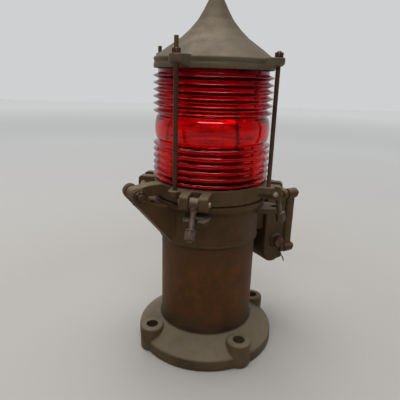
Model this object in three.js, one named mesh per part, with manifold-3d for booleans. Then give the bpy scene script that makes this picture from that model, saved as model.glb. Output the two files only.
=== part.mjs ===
// Navigation light: a cast pedestal with a side terminal box, and a hinged lantern head
// held down by four swing bolts. Millimetres, +Z up, the lamp axis is Z, foot at z = 0.
import * as THREE from "three";
import { mergeVertices } from "three/addons/utils/BufferGeometryUtils.js";
import Module from "manifold-3d";

const wasm = await Module();
wasm.setup();

// ---- overall sizes
const TUBE_R = 76; // outside radius of the pedestal tube
const SEAM_Z = 254; // joint between pedestal and lantern head
const LENS_H = 170; // height of the glass globe
const CAP_H = 121; // roof, from its rim underside to the tip, above the globe seat
// ---- sizes of the foot
const FLANGE_T = 18; // height of the vertical rim of the foot
const BOSS_R = 19;
const BOSS_Z = 40.5;
const BOLT_HOLE_R = 9.5;
const FLOOR_T = 10;
const WALL = 7.5;
// ---- sizes of the hardware
const ROD_R = 3.2;
const ROD_GAP = 0.3; // radial gap of a rod or bolt in a plain hole
const PIN_R = 5; // main hinge pin
const RUN_GAP = 0.08; // running gap of a hinge
const CLEVIS_PIN_R = 4;
const CLEVIS_SLOT = 15; // gap between the cheeks of a clevis on the ring
const FORK_SLOT = 10.5; // gap between the prongs of a fork on the pedestal
const BOLT_R = 4; // shank of a swing bolt
const KNUCKLE_W = 20; // width of the hinge knuckle
const SWING_FAR = 14; // how far the far pair of swing bolts hangs out at rest, degrees
const SWING_NEAR = 28; // the same for the pair beside the hinge
// ---- directions round the axis, degrees
const HINGE_A = 212;
const BOX_A = 32;
const FOOT_A = 32;
const ROD_A = 60.7;
const CLAMP_A = [259, 349, 79, 169];
const CLAMP_SWING = [SWING_NEAR, SWING_FAR, SWING_FAR, SWING_NEAR];
const GAP = 0.3; // gap between two pieces that touch
const N = 32; // facets of the large turned pieces

const TAU = Math.PI * 2;
const rad = (d) => (d * Math.PI) / 180;

function solid(geometry) {
  const g = new THREE.BufferGeometry();
  const flat = geometry.index ? geometry.toNonIndexed() : geometry;
  g.setAttribute("position", flat.getAttribute("position"));
  const m = mergeVertices(g, 1e-4);
  const tris = [];
  const ix = m.index.array;
  for (let i = 0; i < ix.length; i += 3)
    if (ix[i] !== ix[i + 1] && ix[i + 1] !== ix[i + 2] && ix[i] !== ix[i + 2])
      tris.push(ix[i], ix[i + 1], ix[i + 2]);
  const make = (t) =>
    new wasm.Manifold(
      new wasm.Mesh({
        numProp: 3,
        vertProperties: new Float32Array(m.attributes.position.array),
        triVerts: new Uint32Array(t),
      }),
    );
  const made = make(tris);
  if (made.volume() > 0) return made;
  for (let i = 0; i < tris.length; i += 3)
    [tris[i + 1], tris[i + 2]] = [tris[i + 2], tris[i + 1]];
  return make(tris);
}

// Turned piece: a profile of [radius, z] that starts and ends on the axis, or a closed ring.
function turned(points, segments = N, ring = false) {
  const p = points.map(([r, z]) => new THREE.Vector2(r, z));
  if (ring) p.push(p[0].clone());
  return solid(new THREE.LatheGeometry(p, segments).rotateX(Math.PI / 2));
}

const disc = (x, y, r, n = 20, start = 0) =>
  Array.from({ length: n }, (_, i) => {
    const a = start + (i / n) * TAU;
    return [x + r * Math.cos(a), y + r * Math.sin(a)];
  });

function extrude(points, depth) {
  const shape = new THREE.Shape(points.map(([x, y]) => new THREE.Vector2(x, y)));
  return new THREE.ExtrudeGeometry(shape, { depth, bevelEnabled: false });
}

// The three prisms of a piece built at direction `deg`: u runs outwards, v runs anticlockwise, z up.
const prismZ = (uv, z0, z1, deg = 0) =>
  solid(extrude(uv, z1 - z0).translate(0, 0, z0).rotateZ(rad(deg)));
const prismV = (uz, v0, v1, deg = 0) =>
  solid(
    extrude(uz, v1 - v0)
      .translate(0, 0, -v1)
      .rotateX(Math.PI / 2)
      .rotateZ(rad(deg)),
  );
const prismU = (vz, u0, u1, deg = 0) =>
  solid(
    extrude(vz, u1 - u0)
      .translate(0, 0, u0)
      .applyMatrix4(
        new THREE.Matrix4().makeBasis(
          new THREE.Vector3(0, 1, 0),
          new THREE.Vector3(0, 0, 1),
          new THREE.Vector3(1, 0, 0),
        ),
      )
      .rotateZ(rad(deg)),
  );
// A finished body turned about the axis, so that its cuts are made square to the frame.
function spin(made, deg) {
  const m = made.getMesh();
  const g = new THREE.BufferGeometry();
  const v = new Float32Array(m.numVert * 3);
  for (let i = 0; i < m.numVert; i++)
    v.set(m.vertProperties.subarray(i * m.numProp, i * m.numProp + 3), i * 3);
  g.setAttribute("position", new THREE.BufferAttribute(v, 3));
  g.setIndex(new THREE.BufferAttribute(new Uint32Array(m.triVerts), 1));
  return solid(g.rotateZ(rad(deg)));
}
const rect = (x0, y0, x1, y1, c = 0) =>
  c
    ? [
        [x0 + c, y0], [x1 - c, y0], [x1, y0 + c], [x1, y1 - c],
        [x1 - c, y1], [x0 + c, y1], [x0, y1 - c], [x0, y0 + c],
      ]
    : [[x0, y0], [x1, y0], [x1, y1], [x0, y1]];

const group = new THREE.Group();
group.name = "navigation_light";
const material = (color, metalness, roughness, extra = {}) =>
  new THREE.MeshStandardMaterial({ color, metalness, roughness, ...extra });
const bronzeTube = material(0x6b4a33, 0.55, 0.6);
const bronzeHead = material(0x6a6150, 0.5, 0.6);
const bronzeBase = material(0x6a6056, 0.5, 0.65);
const rodMetal = material(0x58483a, 0.6, 0.55);
const nutMetal = material(0x5a4a42, 0.6, 0.5);
const brass = material(0xb08d4a, 0.85, 0.35);
const rubber = material(0x1b1b1a, 0, 0.85);
const clear = material(0xdfe8e4, 0, 0.08, { transparent: true, opacity: 0.35 });
const red = material(0xc01414, 0, 0.12, { transparent: true, opacity: 0.55 });
const phenolic = material(0x241a15, 0, 0.5);
const porcelain = material(0xe8e4d8, 0, 0.3);
const tungsten = material(0x8a8a8a, 0.9, 0.4);

function add(name, made, mat) {
  const m = made.getMesh();
  const v = new Float32Array(m.numVert * 3);
  for (let i = 0; i < m.numVert; i++)
    v.set(m.vertProperties.subarray(i * m.numProp, i * m.numProp + 3), i * 3);
  let g = new THREE.BufferGeometry();
  g.setAttribute("position", new THREE.BufferAttribute(v, 3));
  g.setIndex(new THREE.BufferAttribute(new Uint32Array(m.triVerts), 1));
  g = g.toNonIndexed();
  g.computeVertexNormals();
  const mesh = new THREE.Mesh(g, mat);
  mesh.name = name;
  group.add(mesh);
  return mesh;
}

// ---- heights and radii that follow from the sizes above
const COLLAR_Z = SEAM_Z - 67; // lower edge of the upper housing
const SPIGOT_Z = COLLAR_Z + 18; // top of the tube, inside the collar
const COLLAR_R = TUBE_R + 3.2;
const RIM_R = TUBE_R + 11; // rim of the pedestal at the seam
const BORE_R = TUBE_R - 10;
const RING_Z0 = SEAM_Z + 0.45;
const RING_Z1 = SEAM_Z + 25;
const RING_R = TUBE_R + 12;
const SEAT_R = TUBE_R + 8; // recess the globe stands in
const LEDGE_Z = SEAM_Z + 17;
const GLOBE_Z0 = LEDGE_Z + 4;
const GLOBE_Z1 = GLOBE_Z0 + LENS_H;
const CAP_Z0 = GLOBE_Z1 - 4; // underside of the roof
const CAP_LEDGE_Z = GLOBE_Z1 + 4;
const ROD_C = TUBE_R + 23; // circle of the tie rods
const PAD_T = 10.5; // thickness of the pads they screw into
const CLAMP_C = TUBE_R + 29; // circle of the swing-bolt pivots
const CLAMP_Z = SEAM_Z + 11;
const FORK_Z1 = SEAM_Z - 14;
const FORK_Z0 = SEAM_Z - 23;
const HINGE_C = TUBE_R + 52;
const HINGE_Z = SEAM_Z + 12;
const FLANGE_R = TUBE_R + 38.3;
const BOLT_C = TUBE_R + 25.6;
const DECK_Z = SEAM_Z - 18; // shelf the lampholder stands on

// ---- pedestal: foot and tube, one casting with a closed floor
{
  let body = turned([
    [0, 0], [FLANGE_R - 1.5, 0], [FLANGE_R, 1.5], [FLANGE_R, FLANGE_T - 2],
    [FLANGE_R - 2, FLANGE_T + 0.5], [TUBE_R + 6, FLANGE_T + 20],
    [TUBE_R + 1.6, FLANGE_T + 23.5], [TUBE_R, FLANGE_T + 29],
    [TUBE_R, COLLAR_Z - GAP], [TUBE_R - 3, COLLAR_Z - GAP], [TUBE_R - 3, SPIGOT_Z],
    [TUBE_R - WALL - 1, SPIGOT_Z], [TUBE_R - WALL - 1, FLOOR_T], [0, FLOOR_T],
  ]);
  for (let k = 0; k < 4; k++) {
    const a = FOOT_A + 90 * k;
    body = body.add(
      prismZ(disc(BOLT_C, 0, BOSS_R, 18), 0, BOSS_Z, a),
    );
  }
  for (let k = 0; k < 4; k++)
    body = body.subtract(
      prismZ(disc(BOLT_C, 0, BOLT_HOLE_R, 20), -1, BOSS_Z + 1, FOOT_A + 90 * k),
    );
  // the bosses may not reach into the bore
  body = body.subtract(prismZ(disc(0, 0, TUBE_R - WALL - 1, N), FLOOR_T, SPIGOT_Z + 1));
  add("base_casting", body, bronzeBase);
}

// ---- upper housing: collar over the tube, rim, four forks, hinge bracket, neck of the terminal box
const GROOVE_IN = TUBE_R - 5;
const GROOVE_OUT = TUBE_R + 3;
const BOX_U0 = TUBE_R + 19; // inner face of the terminal box
{
  let body = turned(
    [
      [TUBE_R - 2.7, COLLAR_Z], [TUBE_R + 1.4, COLLAR_Z], [COLLAR_R, COLLAR_Z + 3.5],
      [COLLAR_R, SEAM_Z - 11], [COLLAR_R + 1.8, SEAM_Z - 8], [RIM_R - 0.8, SEAM_Z - 7.6],
      [RIM_R, SEAM_Z - 6.8], [RIM_R, SEAM_Z - 1], [RIM_R - 1, SEAM_Z],
      [GROOVE_OUT, SEAM_Z], [GROOVE_OUT, SEAM_Z - 2.8], [GROOVE_IN, SEAM_Z - 2.8],
      [GROOVE_IN, SEAM_Z], [BORE_R, SEAM_Z], [BORE_R, DECK_Z], [BORE_R - 4, DECK_Z],
      [BORE_R - 4, SPIGOT_Z + 0.4], [TUBE_R - 2.7, SPIGOT_Z + 0.4],
    ],
    N,
    true,
  );
  const bore = prismZ(disc(0, 0, BORE_R - 4, N), COLLAR_Z - 9, SEAM_Z + 40);
  const hold = TUBE_R + 0.5; // how deep the lugs are buried in the collar wall
  for (const a of CLAMP_A) {
    const tip = CLAMP_C + 2.6;
    body = body.add(
      prismZ(
        [[hold, -20], [CLAMP_C - 12, -20], [tip, -15.5], [tip, 15.5], [CLAMP_C - 12, 20], [hold, 20]],
        FORK_Z0, FORK_Z1, a,
      ),
    );
    body = body.subtract(
      prismZ(
        [[tip + 1, -FORK_SLOT / 2], [tip + 1, FORK_SLOT / 2],
          ...Array.from({ length: 7 }, (_, i) => {
            const q = Math.PI / 2 + (i / 6) * Math.PI;
            return [CLAMP_C - 1 + (FORK_SLOT / 2) * Math.cos(q), (FORK_SLOT / 2) * Math.sin(q)];
          })],
        FORK_Z0 - 1, FORK_Z1 + 1, a,
      ),
    );
  }
  const EAR_R = 11.5;
  const ear = (d) => [HINGE_C + EAR_R * Math.cos(rad(d)), HINGE_Z + EAR_R * Math.sin(rad(d))];
  const halfW = KNUCKLE_W / 2 + 12;
  let bracket = prismV(
    [
      [hold, SEAM_Z - 64], [TUBE_R + 2.4, SEAM_Z - 64],
      ear(-48), ear(-24), ear(0), ear(24), ear(48), ear(72), ear(96), ear(120), ear(146),
      [HINGE_C - 18, SEAM_Z + 2], [HINGE_C - 28, SEAM_Z - 3.5],
      [RIM_R - 0.5, SEAM_Z - 7], [hold, SEAM_Z - 7],
    ],
    -halfW, halfW, HINGE_A,
  );
  bracket = bracket.subtract(
    prismV(
      [
        [RIM_R + 0.5, HINGE_Z + 30], [RIM_R + 0.5, SEAM_Z - 4], [HINGE_C - 28, SEAM_Z - 17],
        [HINGE_C - 14, SEAM_Z - 8.5], [HINGE_C + 30, SEAM_Z - 8.5], [HINGE_C + 30, HINGE_Z + 30],
      ],
      -KNUCKLE_W / 2 - 0.4, KNUCKLE_W / 2 + 0.4, HINGE_A,
    ),
  );
  bracket = bracket.subtract(
    prismV(disc(HINGE_C, HINGE_Z, PIN_R + 0.3, 16), -halfW - 1, halfW + 1, HINGE_A),
  );
  body = body.add(bracket);
  // neck towards the terminal box: broad above, a narrow web below
  body = body.add(
    prismZ(rect(hold, -27, BOX_U0 - GAP, 27, 3), SEAM_Z - 70, SEAM_Z - 28, BOX_A).subtract(
      prismZ(disc(0, 0, TUBE_R + 0.4, N), SEAM_Z - 90, SEAM_Z),
    ),
  );
  body = body.add(
    prismV(
      [
        [TUBE_R + 0.4, COLLAR_Z - 2], [TUBE_R + 0.4, SEAM_Z - 100], [BOX_U0 - GAP, SEAM_Z - 116],
        [BOX_U0 - GAP, COLLAR_Z - 2],
      ],
      -8, 8, BOX_A,
    ).subtract(prismZ(disc(0, 0, TUBE_R + 0.4, N), SEAM_Z - 130, SEAM_Z)),
  );
  // wire way from the pedestal into the terminal box
  body = body.subtract(
    prismU(disc(0, SEAM_Z - 47, 9, 16), BORE_R - 20, BOX_U0 + 5, BOX_A),
  );
  body = body.subtract(bore.subtract(prismZ(disc(0, 0, TUBE_R + 60, N), SEAM_Z - 3, SEAM_Z + 50)));
  add("upper_housing", body, bronzeTube);
}

// ---- seam gasket, in the groove of the rim
add(
  "seam_gasket",
  turned(
    [
      [GROOVE_IN + GAP, SEAM_Z - 2.5], [GROOVE_OUT - GAP, SEAM_Z - 2.5],
      [GROOVE_OUT - GAP, SEAM_Z + 0.15], [GROOVE_IN + GAP, SEAM_Z + 0.15],
    ],
    N,
    true,
  ),
  rubber,
);

// ---- hinge pin with its washer and cotter, fixed in the ears of the bracket
const EAR_OUT = KNUCKLE_W / 2 + 12;
{
  let pin = prismV(disc(HINGE_C, HINGE_Z, PIN_R, 16), -EAR_OUT - 2.6, EAR_OUT + 7.5, HINGE_A);
  pin = pin.add(prismV(disc(HINGE_C, HINGE_Z, PIN_R + 2.5, 14), -EAR_OUT - 4, -EAR_OUT - GAP, HINGE_A));
  pin = pin.subtract(prismZ(disc(HINGE_C, EAR_OUT + 4.9, 1.2, 12), HINGE_Z - 9, HINGE_Z + 9, HINGE_A));
  add("hinge_pin", pin, rodMetal);
  add(
    "hinge_washer",
    prismV(disc(HINGE_C, HINGE_Z, 9, 16), EAR_OUT + GAP, EAR_OUT + 2.2, HINGE_A).subtract(
      prismV(disc(HINGE_C, HINGE_Z, PIN_R + GAP, 16), EAR_OUT, EAR_OUT + 4, HINGE_A),
    ),
    nutMetal,
  );
  add(
    "hinge_cotter",
    prismZ(disc(HINGE_C, EAR_OUT + 4.9, 0.85, 10), HINGE_Z - 10, HINGE_Z + 8, HINGE_A).add(
      prismZ(disc(HINGE_C, EAR_OUT + 4.9, 1.9, 12), HINGE_Z + 6.4, HINGE_Z + 9.5, HINGE_A),
    ),
    nutMetal,
  );
}

// ---- terminal box: round-bottomed body with a screwed cover, a plugged side entry
const BOX_U1 = BOX_U0 + 42;
const BOX_TOP = SEAM_Z - 10;
const BOX_BOT = SEAM_Z - 113; // centre height of the rounded bottom
const BOX_V = 33;
const LUG_Z = [SEAM_Z - 112, SEAM_Z - 12];
const LUG_V = 30;
{
  const mid = (BOX_U0 + BOX_U1) / 2;
  const r = (BOX_U1 - BOX_U0) / 2;
  const under = Array.from({ length: 11 }, (_, i) => {
    const q = Math.PI + (i / 10) * Math.PI;
    return [mid + r * Math.cos(q), BOX_BOT + r * Math.sin(q)];
  });
  let body = prismV(
    [...under, [BOX_U1, BOX_TOP - 3], [BOX_U1 - 3, BOX_TOP], [BOX_U0 + 3, BOX_TOP], [BOX_U0, BOX_TOP - 3]],
    -BOX_V, BOX_V,
  );
  for (const z of LUG_Z)
    for (const s of [-1, 1])
      body = body.add(prismU(disc(s * LUG_V, z, 8, 14), BOX_U1 - 9, BOX_U1));
  // side entry boss
  body = body.add(prismV(disc(mid + 3, SEAM_Z - 94, 13, 24), -BOX_V - 5, -BOX_V + 1));
  // small tab under the body
  body = body.add(
    prismV(
      [[mid + 12, BOX_BOT - 12], [BOX_U1 + 1, BOX_BOT - 8], [BOX_U1 + 3, BOX_BOT - 12], [BOX_U1 + 1, BOX_BOT - 18], [mid + 12, BOX_BOT - 20]],
      -BOX_V + 2, -BOX_V + 6,
    ),
  );
  const inner = under.map(([u, z]) => [mid + ((u - mid) * (r - 5)) / r, BOX_BOT + 1.3 + ((z - BOX_BOT) * (r - 5)) / r]);
  body = body.subtract(
    prismV(
      [...inner, [BOX_U1 + 3, BOX_BOT + 1.3], [BOX_U1 + 3, BOX_TOP - 6], [BOX_U0 + 5, BOX_TOP - 6]],
      -BOX_V + 6.6, BOX_V - 6.6,
    ),
  );
  body = body.subtract(prismU(disc(0, SEAM_Z - 47, 9, 16), BOX_U0 - 2, BOX_U0 + 8));
  body = body.subtract(prismV(disc(mid + 3, SEAM_Z - 94, 8, 20), -BOX_V - 8, -BOX_V + 8));
  body = body.subtract(prismV(disc(BOX_U1 - 2, BOX_BOT - 13, 1.6, 12), -BOX_V - 1, -BOX_V + 8));
  for (const z of LUG_Z)
    for (const s of [-1, 1])
      body = body.subtract(prismU(disc(s * LUG_V, z, 3, 8), BOX_U1 - 8, BOX_U1 + 1));
  add("terminal_box", spin(body, BOX_A), bronzeHead);

  const COVER_U0 = BOX_U1 + 1.9;
  const COVER_U1 = COVER_U0 + 16.5;
  let cover = prismU(rect(-BOX_V - 2, LUG_Z[0] - 3, BOX_V + 2, LUG_Z[1] + 3, 5), COVER_U0, COVER_U1);
  for (const z of LUG_Z)
    for (const s of [-1, 1])
      cover = cover.add(prismU(disc(s * LUG_V, z, 9, 14), COVER_U0, COVER_U1 + 3));
  cover = cover.subtract(
    prismU(rect(-BOX_V + 7, LUG_Z[0] + 12, BOX_V - 7, LUG_Z[1] - 12, 4), COVER_U0 - 1, COVER_U1 - 5),
  );
  for (const z of LUG_Z)
    for (const s of [-1, 1])
      cover = cover.subtract(prismU(disc(s * LUG_V, z, 3, 8), COVER_U0 - 1, COVER_U1 + 4));
  add("box_cover", spin(cover, BOX_A), bronzeHead);
  let n = 0;
  for (const z of LUG_Z)
    for (const s of [-1, 1])
      add(
        "cover_screw_" + ++n,
        spin(
          prismU(disc(s * LUG_V, z, 2.7, 10), BOX_U1 - 6, COVER_U1 + 5).add(
            prismU(disc(s * LUG_V, z, 5.2, 6), COVER_U1 + 3 + GAP, COVER_U1 + 6.8),
          ),
          BOX_A,
        ),
        nutMetal,
      );
  let seal = prismU(rect(-BOX_V + 0.5, LUG_Z[0] - 1, BOX_V - 0.5, LUG_Z[1] + 1, 5), BOX_U1 + GAP, COVER_U0 - GAP);
  seal = seal.subtract(
    prismU(rect(-BOX_V + 6.5, BOX_BOT + 5, BOX_V - 6.5, BOX_TOP - 6.5, 3), BOX_U1 - 1, COVER_U0 + 1),
  );
  for (const z of LUG_Z)
    for (const s of [-1, 1])
      seal = seal.subtract(prismU(disc(s * LUG_V, z, 3.1, 8), BOX_U1 - 1, COVER_U0 + 1));
  add("cover_gasket", spin(seal, BOX_A), rubber);
  add(
    "entry_plug",
    spin(
      prismV(disc(mid + 3, SEAM_Z - 94, 9.8, 6, rad(15)), -BOX_V - 12, -BOX_V - 5 - GAP).add(
        prismV(disc(mid + 3, SEAM_Z - 94, 7.6, 14), -BOX_V - 8, -BOX_V + 4),
      ),
      BOX_A,
    ),
    nutMetal,
  );
  add(
    "tab_cotter",
    spin(
      prismV(disc(BOX_U1 - 2, BOX_BOT - 13, 1.1, 8), -BOX_V - 3, -BOX_V + 9).add(
        prismV(
          [[BOX_U1 - 3.2, BOX_BOT - 13], [BOX_U1 - 0.8, BOX_BOT - 12.4], [BOX_U1 + 4.4, BOX_BOT - 23], [BOX_U1 + 2.2, BOX_BOT - 24]],
          -BOX_V - 5, -BOX_V - 2.6,
        ),
      ),
      BOX_A,
    ),
    nutMetal,
  );
  // terminal block with three barriers, screwed to the back wall
  let block = prismU(rect(-20, SEAM_Z - 84, 20, SEAM_Z - 62), BOX_U0 + 5 + GAP, BOX_U0 + 15);
  for (const v of [-20, -7.5, 5, 17.5])
    block = block.add(prismU(rect(v, SEAM_Z - 84, v + 2.5, SEAM_Z - 62), BOX_U0 + 14, BOX_U0 + 19));
  add("terminal_block", spin(block, BOX_A), phenolic);
  [-11.25, 1.25, 13.75].forEach((v, i) =>
    add(
      "terminal_screw_" + (i + 1),
      spin(prismU(disc(v, SEAM_Z - 73, 3.4, 10), BOX_U0 + 15 + GAP, BOX_U0 + 17.6), BOX_A),
      brass,
    ),
  );
}

// ---- lens ring: the hinged frame under the globe, with knuckle, rod pads and clevises
{
  let body = turned(
    [
      [BORE_R, RING_Z0], [RING_R - 1, RING_Z0], [RING_R, RING_Z0 + 1], [RING_R, RING_Z1 - 1],
      [RING_R - 1, RING_Z1], [SEAT_R, RING_Z1], [SEAT_R, LEDGE_Z], [BORE_R, LEDGE_Z],
    ],
    N,
    true,
  );
  const root = SEAT_R + 1;
  for (let k = 0; k < 4; k++) {
    const a = ROD_A + 90 * k;
    body = body.add(
      prismZ([[root, -13], [ROD_C, -10], [ROD_C + 5, -8.7], [ROD_C + 8.7, -5], [ROD_C + 10, 0],
        [ROD_C + 8.7, 5], [ROD_C + 5, 8.7], [ROD_C, 10], [root, 13]], RING_Z1 - PAD_T, RING_Z1, a),
    );
  }
  const half = CLEVIS_SLOT / 2 + 13;
  for (const a of CLAMP_A) {
    body = body.add(
      prismV(
        [[root, RING_Z0 + 1], [CLAMP_C + 4, RING_Z0 + 1], [CLAMP_C + 9, RING_Z0 + 6], [CLAMP_C + 9, RING_Z1 - 7],
          [CLAMP_C + 4, RING_Z1 - 2], [root, RING_Z1 - 2]],
        -half, half, a,
      ),
    );
  }
  for (const a of CLAMP_A) {
    body = body.subtract(
      prismZ(rect(RING_R + 1.5, -CLEVIS_SLOT / 2, CLAMP_C + 20, CLEVIS_SLOT / 2), RING_Z0 - 1, RING_Z1 + 1, a),
    );
    body = body.subtract(
      prismV(disc(CLAMP_C, CLAMP_Z, CLEVIS_PIN_R + GAP, 12), -half - 1, half + 1, a),
    );
  }
  for (let k = 0; k < 4; k++)
    body = body.subtract(
      prismZ(disc(ROD_C, 0, ROD_R + ROD_GAP, 10), RING_Z1 - PAD_T - 1, RING_Z1 + 1, ROD_A + 90 * k),
    );
  // arm and knuckle of the main hinge
  body = body.add(
    prismV(
      [[root, RING_Z0 + 7], [HINGE_C - 16, HINGE_Z - 4.5], [HINGE_C, HINGE_Z - 9], [HINGE_C + 2, HINGE_Z],
        [HINGE_C, HINGE_Z + 9], [HINGE_C - 20, RING_Z1], [root, RING_Z1]],
      -KNUCKLE_W / 2, KNUCKLE_W / 2, HINGE_A,
    ),
  );
  body = body.add(prismV(disc(HINGE_C, HINGE_Z, 10, 24), -KNUCKLE_W / 2, KNUCKLE_W / 2, HINGE_A));
  body = body.subtract(
    prismV(disc(HINGE_C, HINGE_Z, PIN_R + RUN_GAP, 28), -KNUCKLE_W, KNUCKLE_W, HINGE_A),
  );
  add("lens_ring", body, bronzeHead);
}

// ---- gaskets under and over the globe
const ringSeal = (name, z0, z1) =>
  add(name, turned([[BORE_R + 2, z0], [SEAT_R - GAP, z0], [SEAT_R - GAP, z1], [BORE_R + 2, z1]], N, true), rubber);
ringSeal("lower_lens_gasket", LEDGE_Z + GAP, GLOBE_Z0 - GAP);
ringSeal("upper_lens_gasket", GLOBE_Z1 + GAP, CAP_LEDGE_Z - GAP);

// ---- globe: ribbed ruby glass with a smooth belt
{
  const k = LENS_H / 170;
  const tip = TUBE_R + 13.6;
  const foot = TUBE_R + 5.7;
  const z = (mm) => GLOBE_Z0 + (mm - 275) * k;
  const outer = [[foot, GLOBE_Z0], [foot, z(281.5)]];
  const lower = [285.5, 295, 304.5, 314.5, 324.5, 334];
  lower.forEach((c, i) => {
    outer.push([tip, z(c)]);
    outer.push([foot + 0.8, z(i < 5 ? (c + lower[i + 1]) / 2 : 338.6)]);
  });
  outer.push([foot + 3.2, z(341.5)], [foot + 4.8, z(348.5)], [foot + 5.3, z(357.5)]);
  outer.push([foot + 4.8, z(366.5)], [foot + 3.2, z(373.5)]);
  const upper = [381.5, 392, 402, 411.5, 421, 431];
  upper.forEach((c, i) => {
    outer.push([foot + 0.8, z(i ? (c + upper[i - 1]) / 2 : 376.6)]);
    outer.push([tip, z(c)]);
  });
  outer.push([foot, z(435.5)], [foot, GLOBE_Z1], [TUBE_R + 0.5, GLOBE_Z1], [TUBE_R + 0.5, GLOBE_Z0]);
  add("lens_globe", turned(outer, 24, true), red);
}

// ---- roof: concave cone on a rim, four lugs for the tie rods
{
  const k = CAP_H / 121;
  const s = TUBE_R / 76;
  const z = (mm) => CAP_LEDGE_Z - 4 + (mm - 445) * k;
  const r = (mm) => mm * s;
  const RIM = TUBE_R + 13;
  let body = turned(
    [
      [0, z(525)], [r(16), z(508)], [r(33), z(489)], [r(47), z(476)],
      [r(64), z(463)], [BORE_R + 1, CAP_LEDGE_Z], [SEAT_R, CAP_LEDGE_Z], [SEAT_R, CAP_Z0],
      [RIM - 0.8, CAP_Z0], [RIM, CAP_Z0 + 0.8], [RIM, CAP_Z0 + 14], [RIM - 1.5, CAP_Z0 + 15.5],
      [r(69), z(470)], [r(52.5), z(481.5)], [r(49), z(484)], [r(37), z(495)], [r(25.7), z(508)],
      [r(17.7), z(521.5)], [r(11.3), z(534)], [r(6.5), z(547)], [r(2.6), z(561)], [0, z(566)],
    ].reverse(),
  );
  for (let q = 0; q < 4; q++) {
    const a = ROD_A + 90 * q;
    body = body.add(
      prismZ([[SEAT_R + 1.5, -13], [ROD_C, -9], [ROD_C + 4.5, -7.8], [ROD_C + 7.8, -4.5], [ROD_C + 9, 0],
        [ROD_C + 7.8, 4.5], [ROD_C + 4.5, 7.8], [ROD_C, 9], [SEAT_R + 1.5, 13]], CAP_Z0 + 5, CAP_Z0 + 17, a),
    );
    body = body.subtract(prismZ(disc(ROD_C, 0, ROD_R + ROD_GAP, 10), CAP_Z0, CAP_Z0 + 20, a));
  }
  add("cap", body, bronzeHead);
}

// ---- tie rods from the ring to the roof, each with a nut
{
  const tops = [31, 34, 38, 25]; // stud ends above the underside of the roof
  for (let k = 0; k < 4; k++) {
    const a = ROD_A + 90 * k;
    add("tie_rod_" + (k + 1), prismZ(disc(ROD_C, 0, ROD_R, 10), RING_Z1 - PAD_T, CAP_Z0 + tops[k], a), rodMetal);
    add(
      "rod_nut_" + (k + 1),
      prismZ(disc(ROD_C, 0, 6.6, 6), CAP_Z0 + 17 + GAP, CAP_Z0 + 23.3, a).subtract(
        prismZ(disc(ROD_C, 0, ROD_R + ROD_GAP, 10), CAP_Z0 + 10, CAP_Z0 + 30, a),
      ),
      nutMetal,
    );
  }
}

// ---- swing bolts: eye on a clevis pin, shank, washer and nut, hanging a little outwards
CLAMP_A.forEach((a, i) => {
  const n = i + 1;
  const half = CLEVIS_SLOT / 2 + 13;
  const pivot = new THREE.Vector3(CLAMP_C, 0, CLAMP_Z);
  const out = (geometry) =>
    geometry
      .translate(-pivot.x, 0, -pivot.z)
      .rotateY(-rad(CLAMP_SWING[i]))
      .translate(pivot.x, 0, pivot.z)
      .rotateZ(rad(a));
  const zPiece = (pts, z0, z1) => solid(out(extrude(pts, z1 - z0).translate(0, 0, z0)));
  const vPiece = (pts, v) =>
    solid(out(extrude(pts, 2 * v).translate(0, 0, -v).rotateX(Math.PI / 2)));
  const tail = FORK_Z0 - 19;
  add(
    "swing_bolt_" + n,
    vPiece(disc(CLAMP_C, CLAMP_Z, 8.6, 16), CLEVIS_SLOT / 2 - 0.5)
      .add(zPiece(disc(CLAMP_C, 0, BOLT_R, 10), tail, CLAMP_Z - 3))
      .subtract(vPiece(disc(CLAMP_C, CLAMP_Z, CLEVIS_PIN_R + RUN_GAP, 24), CLEVIS_SLOT)),
    rodMetal,
  );
  add(
    "clevis_pin_" + n,
    prismV(disc(CLAMP_C, CLAMP_Z, CLEVIS_PIN_R, 12), -half - 2.2, half + 2.2, a),
    nutMetal,
  );
  const hole = zPiece(disc(CLAMP_C, 0, BOLT_R + GAP, 10), tail - 5, CLAMP_Z - 12);
  add("clamp_washer_" + n, zPiece(disc(CLAMP_C, 0, 7.6, 14), FORK_Z0 - 3.4, FORK_Z0 - 1.4).subtract(hole), nutMetal);
  add("clamp_nut_" + n, zPiece(disc(CLAMP_C, 0, 7.8, 6), FORK_Z0 - 15.5, FORK_Z0 - 3.4 - GAP).subtract(hole), nutMetal);
});

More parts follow.
